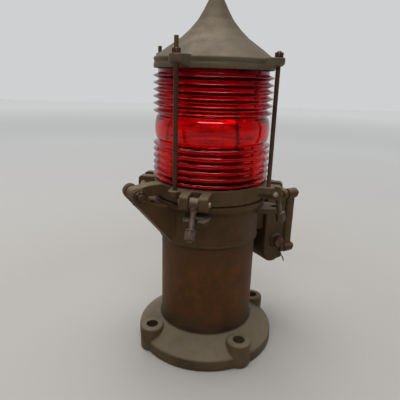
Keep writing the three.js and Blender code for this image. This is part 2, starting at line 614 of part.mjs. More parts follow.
// ---- lamp: shelf, post, socket, screw shell, bulb and filament on the axis
{
  const focus = GLOBE_Z0 + LENS_H * 0.485;
  let deck = prismZ(disc(0, 0, BORE_R - GAP, N), DECK_Z + GAP, DECK_Z + 3.6);
  for (let k = 0; k < 3; k++)
    deck = deck.subtract(prismZ(disc(42, 0, 9, 16), DECK_Z - 5, DECK_Z + 9, 60 + 120 * k));
  add("lamp_shelf", deck, bronzeHead);
  const post0 = DECK_Z + 3.6 + GAP;
  const sock0 = focus - 84;
  add(
    "lamp_post",
    turned([[0, post0], [24, post0], [24, post0 + 4], [13, post0 + 6], [11, sock0 - 6], [15, sock0 - GAP], [0, sock0 - GAP]], 18),
    bronzeHead,
  );
  add(
    "lamp_socket",
    turned(
      [[0, sock0], [17, sock0], [19, sock0 + 3], [19, sock0 + 21], [17.5, sock0 + 23], [14, sock0 + 23], [14, sock0 + 5], [0, sock0 + 5]],
      18,
    ),
    porcelain,
  );
  const base0 = sock0 + 5 + GAP;
  add("lamp_shell", turned([[0, base0], [9, base0], [13.2, base0 + 3], [13.2, base0 + 22], [0, base0 + 22]], 18), brass);
  const neck = base0 + 22 + GAP;
  add(
    "lamp_bulb",
    turned(
      [
        [10.8, neck], [12.8, neck], [13.4, neck + 6], [17.5, neck + 13], [19, neck + 20], [19, neck + 78],
        [17, neck + 86], [12, neck + 91.5], [6, neck + 94], [0, neck + 94.8],
        [0, neck + 93.4], [5.6, neck + 92.6], [11.2, neck + 90.3], [15.8, neck + 85.2], [17.6, neck + 77.6],
        [17.6, neck + 20.4], [16.2, neck + 13.8], [12.1, neck + 6.6],
      ].concat([[10.8, neck]]),
      18,
    ),
    clear,
  );
  const f = focus;
  add(
    "lamp_stem",
    turned([[0, neck], [6, neck], [4, neck + 12], [1.6, neck + 40], [1.4, f - 1.4], [0, f - 1.4]], 12),
    porcelain,
  );
  add("lamp_filament", prismU(disc(0, f, 1.1, 8), -11, 11, 90), tungsten);
}

export default group;
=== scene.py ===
import math

import bmesh
import bpy
from mathutils import Matrix, Vector


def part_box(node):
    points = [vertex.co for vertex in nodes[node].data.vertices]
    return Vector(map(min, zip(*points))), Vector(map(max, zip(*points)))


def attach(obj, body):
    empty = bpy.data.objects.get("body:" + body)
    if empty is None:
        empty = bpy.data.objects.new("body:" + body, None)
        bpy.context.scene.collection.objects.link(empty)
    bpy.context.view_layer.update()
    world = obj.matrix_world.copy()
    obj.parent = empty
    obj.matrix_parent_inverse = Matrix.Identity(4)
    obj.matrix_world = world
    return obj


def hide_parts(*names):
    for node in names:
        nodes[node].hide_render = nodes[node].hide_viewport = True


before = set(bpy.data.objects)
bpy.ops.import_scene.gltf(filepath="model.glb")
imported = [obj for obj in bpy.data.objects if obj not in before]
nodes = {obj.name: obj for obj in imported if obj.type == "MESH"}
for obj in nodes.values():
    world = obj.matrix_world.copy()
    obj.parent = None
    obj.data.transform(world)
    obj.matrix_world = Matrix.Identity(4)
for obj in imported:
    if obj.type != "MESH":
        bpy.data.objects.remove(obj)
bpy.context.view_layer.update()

# ---- Camera: a hand-held view from the height of the globe's upper edge, looking down on the foot.
# It stands 619 mm in front of the lamp axis, tilted down 17 degrees and rolled slightly.
MM = 0.001
EYE = Vector((0.0, -0.619, 0.4292))
TILT, ROLL, YAW = math.radians(17.06), math.radians(1.72), math.radians(-1.40)
FOCAL_SHARE = 0.99675  # focal length over the sensor's width
forward = Vector((math.sin(YAW) * math.cos(TILT), math.cos(YAW) * math.cos(TILT), -math.sin(TILT)))
level = Vector((math.cos(YAW), -math.sin(YAW), 0))
upright = level.cross(forward)
right = math.cos(ROLL) * level + math.sin(ROLL) * upright
above = -math.sin(ROLL) * level + math.cos(ROLL) * upright
lens = bpy.data.cameras.new("eye")
lens.sensor_width = 36
lens.lens = 36 * FOCAL_SHARE
camera = bpy.data.objects.new("eye", lens)
camera.matrix_world = Matrix.Translation(EYE) @ Matrix((right, above, -forward)).transposed().to_4x4()
bpy.context.scene.collection.objects.link(camera)
bpy.context.scene.camera = camera

# ---- Studio: a pale floor under a broad overhead lamp, a bright backdrop behind the light and a dimmer
# room on the viewer's side, so that upright faces stay dark and the glass glows.
# Painted light: the floor's colour is painted darker near the object and paler far from it.
FLOOR_TONE, FAR_FLOOR_PAINTED_BRIGHT = (0.46, 0.44, 0.41, 1), (0.92, 0.92, 0.92, 1)
ROOM_LIGHT, BACKDROP_LIGHT, BACKDROP_GREY = 0.10, 0.66, 0.64
LIGHT_MIDDLE = Vector((0, 0, 0.28))  # the lamps aim here


def blank(name):
    """A new material, its node tree and its Principled shader."""
    made = bpy.data.materials.new(name)
    made.use_nodes = True
    return made, made.node_tree, made.node_tree.nodes["Principled BSDF"]


floor_mesh = bpy.data.meshes.new("studio_floor")
floor_mesh.from_pydata([(-6, -6, 0), (6, -6, 0), (6, 6, 0), (-6, 6, 0)], [], [(0, 1, 2, 3)])
floor = bpy.data.objects.new("studio_floor", floor_mesh)
bpy.context.scene.collection.objects.link(floor)
floor_skin, floor_tree, floor_bsdf = blank("studio_floor")
spread = floor_tree.nodes.new("ShaderNodeVectorMath")
spread.operation = "LENGTH"
floor_tree.links.new(floor_tree.nodes.new("ShaderNodeTexCoord").outputs["Object"], spread.inputs[0])
# Painted light: the floor grows paler with distance from the object.
distance_fade = floor_tree.nodes.new("ShaderNodeMapRange")
distance_fade.inputs["From Min"].default_value, distance_fade.inputs["From Max"].default_value = 0.4, 2.2
floor_tree.links.new(spread.outputs["Value"], distance_fade.inputs["Value"])
painted_floor_fade = floor_tree.nodes.new("ShaderNodeMix")
painted_floor_fade.data_type = "RGBA"
painted_floor_fade.inputs[6].default_value, painted_floor_fade.inputs[7].default_value = FLOOR_TONE, FAR_FLOOR_PAINTED_BRIGHT
floor_tree.links.new(distance_fade.outputs[0], painted_floor_fade.inputs[0])
floor_tree.links.new(painted_floor_fade.outputs[2], floor_bsdf.inputs["Base Color"])
# Painted glow: the far floor gives off light of its own.
painted_floor_glow = floor_tree.nodes.new("ShaderNodeMapRange")  # the far floor melts into the backdrop
painted_floor_glow.inputs["From Min"].default_value, painted_floor_glow.inputs["From Max"].default_value = 1.2, 5.0
painted_floor_glow.inputs["To Max"].default_value = 0.30
floor_tree.links.new(spread.outputs["Value"], painted_floor_glow.inputs["Value"])
floor_bsdf.inputs["Emission Color"].default_value = (1, 1, 1, 1)
floor_tree.links.new(painted_floor_glow.outputs[0], floor_bsdf.inputs["Emission Strength"])
floor_bsdf.inputs["Roughness"].default_value = 0.85
floor_mesh.materials.append(floor_skin)
sky = bpy.data.worlds.new("studio_sky")
sky.use_nodes = True
sky_tree = sky.node_tree
aim = sky_tree.nodes.new("ShaderNodeTexCoord")
parts = sky_tree.nodes.new("ShaderNodeSeparateXYZ")
sky_tree.links.new(aim.outputs["Generated"], parts.inputs[0])
depth = sky_tree.nodes.new("ShaderNodeMapRange")
depth.inputs["From Min"].default_value = -0.10
depth.inputs["From Max"].default_value = 0.55
depth.inputs["To Min"].default_value = ROOM_LIGHT
depth.inputs["To Max"].default_value = BACKDROP_LIGHT
sky_tree.links.new(parts.outputs["Y"], depth.inputs["Value"])
sky_tree.nodes["Background"].inputs["Color"].default_value = (0.98, 0.99, 1.0, 1)
plain = sky_tree.nodes.new("ShaderNodeMix")  # seen directly, the backdrop is one even pale grey
plain.inputs["B"].default_value = BACKDROP_GREY
sky_tree.links.new(sky_tree.nodes.new("ShaderNodeLightPath").outputs["Is Camera Ray"], plain.inputs["Factor"])
sky_tree.links.new(depth.outputs[0], plain.inputs["A"])
sky_tree.links.new(plain.outputs["Result"], sky_tree.nodes["Background"].inputs["Strength"])
bpy.context.scene.world = sky
bpy.context.scene.view_settings.view_transform = "Standard"
for name, place, size, power in (
    ("overhead", (-0.15, 0.1, 1.9), (1.5, 1.5), 30),
    ("window_left", (-1.7, -1.0, 1.0), (1.2, 1.2), 0.4),
    ("fill_right", (1.7, -1.0, 0.9), (1.2, 1.2), 1.4),
    ("skylight", (-0.05, -1.25, 1.50), (1.2, 0.13), 6),
):
    lamp = bpy.data.lights.new(name, "AREA")
    lamp.shape, lamp.energy = "RECTANGLE", power
    lamp.size, lamp.size_y = size
    holder = bpy.data.objects.new(name, lamp)
    holder.location = place
    holder.visible_glossy = name in ("overhead", "skylight")
    holder.rotation_euler = (LIGHT_MIDDLE - holder.location).to_track_quat("-Z", "Y").to_euler()
    bpy.context.scene.collection.objects.link(holder)


# ---- Foot and tube: one sand casting in bronze, a round foot with four bolt bosses and a plain tube.
# The bolt holes are drilled after casting, so their edges are crisp where the rest is soft.
TUBE_R = 76
SEAM_Z = 254
COLLAR_Z = SEAM_Z - 67
FOOT_R = 114.3
FOOT_A = 32
BOLT_CIRCLE = 101.6
BOSS_R, BOSS_Z, BOLT_HOLE_R = 19, 40.5, 9.5
FLOOR_T, TUBE_TOP = 10, 205
BROAD = 176  # facets round the wide turned bodies
INSET = 0.1  # the castings stay this far inside their nominal faces


def fillet(points, radius, steps=4, closed=False):
    """The outline with each corner rounded; a third number on a point is its own radius."""
    out, n = [], len(points)
    for i, p in enumerate(points):
        r = p[2] if len(p) > 2 else radius
        here = Vector(p[:2])
        if r <= 0 or (not closed and i in (0, n - 1)):
            out.append(tuple(here))
            continue
        a, b = Vector(points[i - 1][:2]) - here, Vector(points[(i + 1) % n][:2]) - here
        turn = a.angle(b)
        if turn > math.pi - 0.02:
            out.append(tuple(here))
            continue
        reach = min(r / math.tan(turn / 2), 0.48 * a.length, 0.48 * b.length)
        start, end = here + a.normalized() * reach, here + b.normalized() * reach
        for s in range(steps + 1):
            t = s / steps
            out.append(tuple((1 - t) ** 2 * start + 2 * t * (1 - t) * here + t * t * end))
    return out


def shape(name, verts, faces):
    """A mesh object from points in millimetres."""
    mesh = bpy.data.meshes.new(name)
    mesh.from_pydata([Vector(v) * MM for v in verts], [], faces)
    mesh.validate()
    obj = bpy.data.objects.new(name, mesh)
    bpy.context.scene.collection.objects.link(obj)
    bm = bmesh.new()
    bm.from_mesh(mesh)
    bmesh.ops.remove_doubles(bm, verts=bm.verts, dist=1e-7)
    bmesh.ops.recalc_face_normals(bm, faces=bm.faces)
    bm.to_mesh(mesh)
    bm.free()
    return obj


def turned(name, profile, segments=160, ring=False):
    """A lathe-turned body about the lamp axis, from [radius, height] points."""
    verts, rows, faces = [], [], []
    for r, z in profile:
        count = 1 if r < 1e-6 else segments
        rows.append([len(verts) + k for k in range(count)])
        for k in range(count):
            a = 2 * math.pi * k / segments
            verts.append((r * math.cos(a), r * math.sin(a), z))
    pairs = list(zip(rows, rows[1:])) + ([(rows[-1], rows[0])] if ring else [])
    for low, high in pairs:
        for k in range(segments):
            quad = [
                low[k % len(low)], low[(k + 1) % len(low)], high[(k + 1) % len(high)], high[k % len(high)],
            ]
            quad = list(dict.fromkeys(quad))
            if len(quad) > 2:
                faces.append(quad)
    return shape(name, verts, faces)


def spun(name, points, radius, segments, steps=4):
    """A turned body closed to the axis at both ends, its corners rounded."""
    profile = [(0, points[0][1])] + fillet(points, radius, steps) + [(0, points[-1][1])]
    return turned(name, profile, segments)


def slab(name, outline, low, high, way="z", soft=0.8, at=0):
    """A flat plate with eased rims: an outline given a thickness along u (outwards), v (sideways) or z.

    It is then turned about the lamp axis to the direction `at`, in degrees.
    """
    n = len(outline)
    verts = [(x, y, low) for x, y in outline] + [(x, y, high) for x, y in outline]
    faces = [list(range(n))[::-1], list(range(n, 2 * n))]
    faces += [[k, (k + 1) % n, n + (k + 1) % n, n + k] for k in range(n)]
    obj = shape(name, verts, faces)
    if soft:
        bm = bmesh.new()
        bm.from_mesh(obj.data)
        rims = [e for e in bm.edges if abs(e.verts[0].co.z - e.verts[1].co.z) < 1e-9]
        bmesh.ops.bevel(
            bm, geom=rims, offset=soft * MM, segments=3, affect="EDGES", profile=0.5, clamp_overlap=True,
        )
        bm.to_mesh(obj.data)
        bm.free()
    lay = {
        "z": Matrix.Identity(4),
        "v": Matrix(((1, 0, 0, 0), (0, 0, -1, 0), (0, 1, 0, 0), (0, 0, 0, 1))),
        "u": Matrix(((0, 0, 1, 0), (1, 0, 0, 0), (0, 1, 0, 0), (0, 0, 0, 1))),
    }[way]
    if way == "v":  # keeps `low` on the side of lower v
        obj.data.transform(Matrix.Translation((0, 0, -(low + high) * MM)))
    obj.data.transform(Matrix.Rotation(math.radians(at), 4, "Z") @ lay)
    return obj


def circle(x, y, r, n=48):
    """The outline of a round, n points."""
    return [(x + r * math.cos(2 * math.pi * k / n), y + r * math.sin(2 * math.pi * k / n)) for k in range(n)]


def settle(obj):
    """Makes what the modifiers show into the mesh itself."""
    bpy.context.view_layer.update()
    made = bpy.data.meshes.new_from_object(obj.evaluated_get(bpy.context.evaluated_depsgraph_get()))
    obj.modifiers.clear()
    obj.data = made


def merge(obj, others, how):
    """A boolean of the body with each of the others in turn, which are used up."""
    for other in others:
        tool = obj.modifiers.new(how.lower(), "BOOLEAN")
        tool.operation, tool.solver, tool.object = how, "MANIFOLD", other
    settle(obj)
    for other in others:
        bpy.data.objects.remove(other)


def join(obj, *others):
    merge(obj, others, "UNION")


def cut(obj, *tools):
    merge(obj, tools, "DIFFERENCE")


def sand_cast(obj, grain, passes=6):
    """Softens the corners and junctions of a built-up body as a sand casting has them."""
    skin = obj.modifiers.new("skin", "REMESH")
    skin.mode, skin.voxel_size = "VOXEL", grain * MM
    ease = obj.modifiers.new("ease", "SMOOTH")
    ease.factor, ease.iterations = 0.5, passes
    settle(obj)


def finish_faces(obj, material, sharp=40):
    """One material, smooth shading, and hard edges above the angle."""
    obj.data.materials.clear()
    obj.data.materials.append(material)
    obj.data.shade_smooth()
    obj.data.set_sharp_from_angle(angle=math.radians(sharp))


def stand_for(obj, body, slot, *cad):
    """The piece rides on its body and takes the place of CAD nodes."""
    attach(obj, body)
    for replaced in cad:
        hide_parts(replaced)


def group(name, ins, outs):
    """An empty shader group with its sockets, and the nodes that stand for its two ends."""
    tree = bpy.data.node_groups.new(name, "ShaderNodeTree")
    for label, kind, value in ins:
        socket = tree.interface.new_socket(name=label, in_out="INPUT", socket_type="NodeSocket" + kind)
        if value is not None:
            socket.default_value = value
    for label, kind in outs:
        tree.interface.new_socket(name=label, in_out="OUTPUT", socket_type="NodeSocket" + kind)
    return tree, tree.nodes.new("NodeGroupInput"), tree.nodes.new("NodeGroupOutput")


def node(tree, kind, **settings):
    """A shader node with its values set, by socket name or by property."""
    made = tree.nodes.new("ShaderNode" + kind)
    for key, value in settings.items():
        if key in made.inputs:
            made.inputs[key].default_value = value
        else:
            setattr(made, key, value)
    return made


def blend_colours(tree, share, a, b, how="MIX"):
    """A Mix node on colours: each of share, a and b is a socket or a value."""
    mix = tree.nodes.new("ShaderNodeMix")
    mix.data_type, mix.blend_type = "RGBA", how
    for slot, value in ((0, share), (6, a), (7, b)):
        if isinstance(value, bpy.types.NodeSocket):
            tree.links.new(value, mix.inputs[slot])
        else:
            mix.inputs[slot].default_value = value
    return mix.outputs[2]


def span(tree, value, low, high, to_low=0.0, to_high=1.0):
    """Maps a socket's value from low..high to to_low..to_high, clamped."""
    reach = node(tree, "MapRange")
    tree.links.new(value, reach.inputs["Value"])
    for key, number in (("From Min", low), ("From Max", high), ("To Min", to_low), ("To Max", to_high)):
        reach.inputs[key].default_value = number
    return reach.outputs[0]


def distance_off_axis(tree, position):
    """How far a point lies from the lamp axis, from a socket with its position."""
    flat = node(tree, "VectorMath", operation="MULTIPLY")
    flat.inputs[1].default_value = (1, 1, 0)
    tree.links.new(position, flat.inputs[0])
    distance = node(tree, "VectorMath", operation="LENGTH")
    tree.links.new(flat.outputs[0], distance.inputs[0])
    return distance.outputs["Value"]


def maths(tree, how, a, b):
    """A Math node: each of a and b is a socket or a value."""
    made = node(tree, "Math", operation=how)
    for slot, value in ((0, a), (1, b)):
        if isinstance(value, bpy.types.NodeSocket):
            tree.links.new(value, made.inputs[slot])
        else:
            made.inputs[slot].default_value = value
    return made.outputs[0]


# Patina: cloudy tones over the metal, finer stains, run-down streaks, dust with painted top light on what
# faces up, and worn corners.
patina, took, gave = group(
    "bronze_patina",
    [
        ("Tone", "Color", (0.2, 0.15, 0.1, 1)), ("Deep", "Color", (0.1, 0.07, 0.05, 1)),
        ("Stain", "Color", (0.2, 0.1, 0.05, 1)), ("Dust And Top Light", "Color", (0.4, 0.38, 0.33, 1)),
        ("Bare", "Color", (0.5, 0.38, 0.22, 1)), ("Stain Share", "Float", 0.5),
        ("Dust And Top Light Share", "Float", 0.5), ("Wear Share", "Float", 0.5),
    ],
    [("Color", "Color"), ("Roughness", "Float"), ("Height", "Float")],
)
where = node(patina, "TexCoord").outputs["Object"]
clouds = node(patina, "TexNoise", Scale=11.0, Detail=5.0, Roughness=0.6)
stains = node(patina, "TexNoise", Scale=46.0, Detail=8.0, Roughness=0.68)
sand = node(patina, "TexNoise", Scale=620.0, Detail=3.0, Roughness=0.6)
pits = node(patina, "TexVoronoi", Scale=210.0)
for texture in (clouds, stains, sand, pits):
    patina.links.new(where, texture.inputs["Vector"])
stretch = node(patina, "Mapping")
stretch.inputs["Scale"].default_value = (90, 90, 5)
patina.links.new(where, stretch.inputs["Vector"])
runs = node(patina, "TexNoise", Scale=1.0, Detail=4.0)
patina.links.new(stretch.outputs[0], runs.inputs["Vector"])
form = node(patina, "NewGeometry")
facing = node(patina, "SeparateXYZ")
patina.links.new(form.outputs["Normal"], facing.inputs[0])
tone = blend_colours(
    patina, span(patina, clouds.outputs[0], 0.36, 0.62), took.outputs["Deep"], took.outputs["Tone"],
)
stained = maths(patina, "MULTIPLY", span(patina, stains.outputs[0], 0.47, 0.66), took.outputs["Stain Share"])
tone = blend_colours(patina, stained, tone, took.outputs["Stain"])
streaked = maths(patina, "MULTIPLY", span(patina, runs.outputs[0], 0.52, 0.75), 0.35)
tone = blend_colours(patina, streaked, tone, took.outputs["Deep"])
# Dust and painted light: faces turned up are made paler, partly for dust and partly for the overhead lamp's
# light on them.
dust_and_top_light = maths(
    patina, "MULTIPLY", span(patina, facing.outputs["Z"], 0.25, 0.95),
    span(patina, stains.outputs[0], 0.3, 0.62, 0.35, 1.0),
)
tone = blend_colours(
    patina, maths(patina, "MULTIPLY", dust_and_top_light, took.outputs["Dust And Top Light Share"]), tone, took.outputs["Dust And Top Light"],
)
corner = maths(
    patina, "MULTIPLY",
    span(patina, form.outputs["Pointiness"], 0.535, 0.60),
    span(patina, stains.outputs[0], 0.36, 0.55),
)
rubbed = maths(patina, "MULTIPLY", corner, took.outputs["Wear Share"])
tone = blend_colours(patina, rubbed, tone, took.outputs["Bare"])
speck = span(patina, sand.outputs[0], 0.3, 0.7, 0.86, 1.1)
shade = node(patina, "CombineXYZ")
for axis in range(3):
    patina.links.new(speck, shade.inputs[axis])
tone = blend_colours(patina, 1.0, tone, shade.outputs[0], "MULTIPLY")
patina.links.new(tone, gave.inputs["Color"])
rough = maths(
    patina, "ADD",
    span(patina, stains.outputs[0], 0.3, 0.7, 0.44, 0.66),
    maths(patina, "MULTIPLY", dust_and_top_light, 0.15),
)
patina.links.new(
    maths(patina, "SUBTRACT", rough, maths(patina, "MULTIPLY", rubbed, 0.14)), gave.inputs["Roughness"],
)
pitted = span(patina, pits.outputs["Distance"], 0.0, 0.35, 0.0, 1.0)
rise = maths(
    patina, "ADD",
    maths(patina, "MULTIPLY", sand.outputs[0], 0.55),
    maths(patina, "MULTIPLY", stains.outputs[0], 0.5),
)
patina.links.new(maths(patina, "ADD", rise, maths(patina, "MULTIPLY", pitted, 0.22)), gave.inputs["Height"])


def weathered(tree, tone, deep, stain, dust_and_top_light_tone, bare, stain_share, dust_and_top_light_share, wear):
    """The patina group in a material, with its values for one casting."""
    coat = tree.nodes.new("ShaderNodeGroup")
    coat.node_tree = patina
    for key, value in (("Tone", tone), ("Deep", deep), ("Stain", stain), ("Dust And Top Light", dust_and_top_light_tone), ("Bare", bare)):
        coat.inputs[key].default_value = (*value, 1)
    for key, value in (("Stain Share", stain_share), ("Dust And Top Light Share", dust_and_top_light_share), ("Wear Share", wear)):
        coat.inputs[key].default_value = value
    return coat


def bronze(name, tone, deep, stain, dust_and_top_light_tone, bare, stain_share, dust_and_top_light_share, wear, metal=0.28, relief=0.4):
    """A patinated bronze surface."""
    made, tree, bsdf = blank(name)
    coat = weathered(tree, tone, deep, stain, dust_and_top_light_tone, bare, stain_share, dust_and_top_light_share, wear)
    bsdf.inputs["Metallic"].default_value = metal
    bsdf.inputs["Specular IOR Level"].default_value = 0.15
    bump = node(tree, "Bump", Strength=relief, Distance=0.0008)
    tree.links.new(coat.outputs["Color"], bsdf.inputs["Base Color"])
    tree.links.new(coat.outputs["Roughness"], bsdf.inputs["Roughness"])
    tree.links.new(coat.outputs["Height"], bump.inputs["Height"])
    tree.links.new(bump.outputs[0], bsdf.inputs["Normal"])
    return made


foot_bronze = bronze(
    "foot_bronze", (0.165, 0.116, 0.062), (0.090, 0.062, 0.034), (0.115, 0.068, 0.034),
    (0.26, 0.220, 0.162), (0.32, 0.25, 0.16), 0.55, 0.75, 0.5,
)
# The tube has weathered redder than the foot: its own patina takes over above the fillet.
tree = foot_bronze.node_tree
bsdf = tree.nodes["Principled BSDF"]
tube_coat = weathered(
    tree, (0.135, 0.052, 0.0145), (0.085, 0.038, 0.013), (0.180, 0.058, 0.016), (0.13, 0.105, 0.075),
    (0.24, 0.15, 0.08), 0.75, 0.4, 0.4,
)
spot = node(tree, "TexCoord").outputs["Object"]
level_of = node(tree, "SeparateXYZ")
tree.links.new(spot, level_of.inputs[0])
wander = node(tree, "TexNoise", Scale=30.0, Detail=5.0)
tree.links.new(spot, wander.inputs["Vector"])
border = maths(tree, "ADD", level_of.outputs["Z"], span(tree, wander.outputs[0], 0.3, 0.7, -0.004, 0.004))
base_colour = bsdf.inputs["Base Color"].links[0].from_socket
near_ends = maths(tree, "MAXIMUM", span(tree, border, 0.145, 0.186), span(tree, border, 0.085, 0.052))
under_collar = maths(tree, "MULTIPLY", near_ends, 0.75)  # browner again towards the collar and the foot
tube_colour = blend_colours(tree, under_collar, tube_coat.outputs["Color"], (0.066, 0.041, 0.022, 1))
at_tube = span(tree, distance_off_axis(tree, spot), (TUBE_R + 3.5) * MM, (TUBE_R + 1.5) * MM)
on_tube = maths(tree, "MULTIPLY", span(tree, border, 0.038, 0.044), at_tube)
foot_and_tube = blend_colours(tree, on_tube, base_colour, tube_colour)
# Painted shade: a dark band where the tube meets the fillet of the foot.
painted_crease_shade = maths(tree, "MULTIPLY", at_tube, span(tree, border, 0.0495, 0.0430))
crease_shaded_colour = blend_colours(tree, maths(tree, "MULTIPLY", painted_crease_shade, 0.7), foot_and_tube, (0.022, 0.015, 0.009, 1))
tree.links.new(crease_shaded_colour, bsdf.inputs["Base Color"])
bore_r = TUBE_R - 8.5
foot = spun(
    "foot_and_tube",
    [
        (20, 0), (FOOT_R, 0, 1.6), (FOOT_R, 18, 3.2), (TUBE_R + 8, 37.5, 3), (TUBE_R + 1.2, 41.5, 4),
        (TUBE_R, 50, 14), (TUBE_R, COLLAR_Z - 0.3, 0.8), (TUBE_R - 3, COLLAR_Z - 0.3, 0.3),
        (TUBE_R - 3, TUBE_TOP, 0.8), (bore_r, TUBE_TOP, 0.8), (bore_r, FLOOR_T, 5), (20, FLOOR_T),
    ],
    1.0, BROAD,
)
bosses = [
    slab("boss", circle(BOLT_CIRCLE, 0, BOSS_R, 56), 0.02, BOSS_Z, "z", 2.6, FOOT_A + 90 * k)
    for k in range(4)
]
join(foot, *bosses)
cut(foot, turned("bore", [(0, FLOOR_T), (bore_r, FLOOR_T), (bore_r, 207), (0, 207)], BROAD))
sand_cast(foot, 1.35, 7)
cut(
    foot,
    *[
        slab("drill", circle(BOLT_CIRCLE, 0, BOLT_HOLE_R, 48), -4, 48, "z", 0, FOOT_A + 90 * k)
        for k in range(4)
    ],
)
finish_faces(foot, foot_bronze)
stand_for(foot, "housing", "bronze_base", "base_casting")


# ---- Upper housing: the bronze collar cast on over the tube, with the rim that carries the lantern head,
# four fork lugs for the swing bolts, the two ears of the main hinge and the neck of the terminal box.
COLLAR_R = TUBE_R + 3.2
RIM_R = TUBE_R + 12.2
BORE_R = TUBE_R - 10
GROOVE = (TUBE_R - 5, TUBE_R + 3)
CLAMP_CIRCLE = TUBE_R + 29
CLAMP_AT = (259, 349, 79, 169)
FORK = (SEAM_Z - 23, SEAM_Z - 14)
FORK_SLOT = 10.5
HINGE_A, HINGE_R, HINGE_Z = 212, TUBE_R + 52, SEAM_Z + 12
HINGE_PIN_R, KNUCKLE_W = 5, 20
EAR_R, EAR_OUT = 11.5, 22
BOX_A = 32
WIRE_WAY_R, WIRE_WAY_Z = 9, SEAM_Z - 47
BOX_IN = TUBE_R + 19
housing_bronze = bronze(
    "housing_bronze", (0.106, 0.060, 0.026), (0.060, 0.034, 0.015), (0.108, 0.048, 0.018),
    (0.46, 0.39, 0.29), (0.30, 0.23, 0.15), 0.5, 0.7, 0.3,
)
# Dust and painted top light lie on the housing up to the fork tops and hardly at all above them: painted
# shade in the gap behind the hinge.
tree = housing_bronze.node_tree
level_of = node(tree, "SeparateXYZ")
tree.links.new(node(tree, "TexCoord").outputs["Object"], level_of.inputs[0])
# Painted light and shade: pale tops up to the forks, shade above them.
lit_forks_shaded_gap = span(tree, level_of.outputs["Z"], (FORK[1] + 1) * MM, (FORK[1] + 3) * MM, 0.85, 0.04)
housing_coat = next(made for made in tree.nodes if made.type == "GROUP")
tree.links.new(lit_forks_shaded_gap, housing_coat.inputs["Dust And Top Light Share"])
collar = turned(
    "collar_housing",
    fillet(
        [
            (TUBE_R - 2.6, COLLAR_Z + INSET, 0.2), (COLLAR_R + 0.8, COLLAR_Z + INSET, 0.6),
            (COLLAR_R + 1.2, COLLAR_Z + 2.8, 1.0), (COLLAR_R, COLLAR_Z + 5.0, 1.6),
            (COLLAR_R, SEAM_Z - 9.6, 1.4), (RIM_R - 0.8, SEAM_Z - 8.6, 0.6),
            (RIM_R, SEAM_Z - 7.4, 0.8), (RIM_R, SEAM_Z - INSET, 1.2),
            (BORE_R, SEAM_Z - INSET, 0.6), (BORE_R, SEAM_Z - 18, 0.4), (BORE_R - 4, SEAM_Z - 18, 0.4),
            (BORE_R - 4, COLLAR_Z + 18.4, 0.4), (TUBE_R - 2.6, COLLAR_Z + 18.4, 0.4),
        ],
        0.8,
        closed=True,
    ),
    BROAD,
    ring=True,
)


def arc(x, y, r, degrees):
    """Points on a round at the given angles."""
    return [(x + r * math.cos(math.radians(d)), y + r * math.sin(math.radians(d))) for d in degrees]


hold = TUBE_R + 1
lugs = [
    slab(
        "fork",
        fillet(
            [
                (hold, -19.5), (CLAMP_CIRCLE - 12, -19.5, 5), (CLAMP_CIRCLE + 2.3, -15.2, 3),
                (CLAMP_CIRCLE + 2.3, 15.2, 3), (CLAMP_CIRCLE - 12, 19.5, 5), (hold, 19.5),
            ],
            1, closed=True,
        ),
        FORK[0] + INSET, FORK[1] - INSET, "z", 1.5, a,
    )
    for a in CLAMP_AT
]
ear_arc = arc(HINGE_R, HINGE_Z, EAR_R - 0.2, range(-48, 147, 12))
bracket = slab(
    "bracket",
    [
        (hold, SEAM_Z - 63.5), (TUBE_R + 2.6, SEAM_Z - 63.5), *ear_arc, (HINGE_R - 18, SEAM_Z + 1.6),
        (HINGE_R - 28, SEAM_Z - 3.8), (RIM_R - 1, SEAM_Z - 7.2), (hold, SEAM_Z - 7.2),
    ],
    -EAR_OUT + INSET, EAR_OUT - INSET, "v", 1.6, HINGE_A,
)
cut(
    bracket,
    slab(
        "slot",
        fillet(
            [
                (RIM_R + 0.8, HINGE_Z + 30), (RIM_R + 0.8, SEAM_Z - 4.2, 3),
                (HINGE_R - 28, SEAM_Z - 17, 4), (HINGE_R - 14, SEAM_Z - 8.8, 3),
                (HINGE_R + 30, SEAM_Z - 8.8), (HINGE_R + 30, HINGE_Z + 30),
            ],
            0.2, closed=True,
        ),
        -KNUCKLE_W / 2 - 0.6, KNUCKLE_W / 2 + 0.6, "v", 0, HINGE_A,
    ),
)
neck = slab(
    "neck",
    fillet(
        [(hold, -26.8), (BOX_IN - 0.4, -26.8, 2.5), (BOX_IN - 0.4, 26.8, 2.5), (hold, 26.8)],
        0.5, closed=True,
    ),
    SEAM_Z - 69.8, SEAM_Z - 28.2, "z", 2.4, BOX_A,
)
neck_web = slab(
    "neck_web",
    [
        (TUBE_R + 0.6, COLLAR_Z + 2), (TUBE_R + 0.6, SEAM_Z - 99.6), (BOX_IN - 0.4, SEAM_Z - 115.4),
        (BOX_IN - 0.4, COLLAR_Z + 2),
    ],
    -7.8, 7.8, "v", 1.6, BOX_A,
)
cut(neck, turned("tube_clear", [(0, 150), (TUBE_R + 0.5, 150), (TUBE_R + 0.5, 240), (0, 240)], 128))
cut(neck_web, turned("tube_clear", [(0, 120), (TUBE_R + 0.5, 120), (TUBE_R + 0.5, 240), (0, 240)], 128))
join(collar, *lugs, bracket, neck, neck_web)
sand_cast(collar, 1.1, 5)
tools = [
    slab(
        "fork_slot",
        [(CLAMP_CIRCLE + 6, -FORK_SLOT / 2), (CLAMP_CIRCLE + 6, FORK_SLOT / 2)]
        + arc(CLAMP_CIRCLE - 1, 0, FORK_SLOT / 2, range(90, 271, 15)),
        FORK[0] - 3, FORK[1] + 3, "z", 0, a,
    )
    for a in CLAMP_AT
]
pin_hole = circle(HINGE_R, HINGE_Z, HINGE_PIN_R + 0.35, 40)
tools.append(slab("pin_hole", pin_hole, -EAR_OUT - 3, EAR_OUT + 3, "v", 0, HINGE_A))
tools.append(slab("wire_way", circle(0, WIRE_WAY_Z, WIRE_WAY_R, 40), BORE_R - 20, BOX_IN + 5, "u", 0, BOX_A))
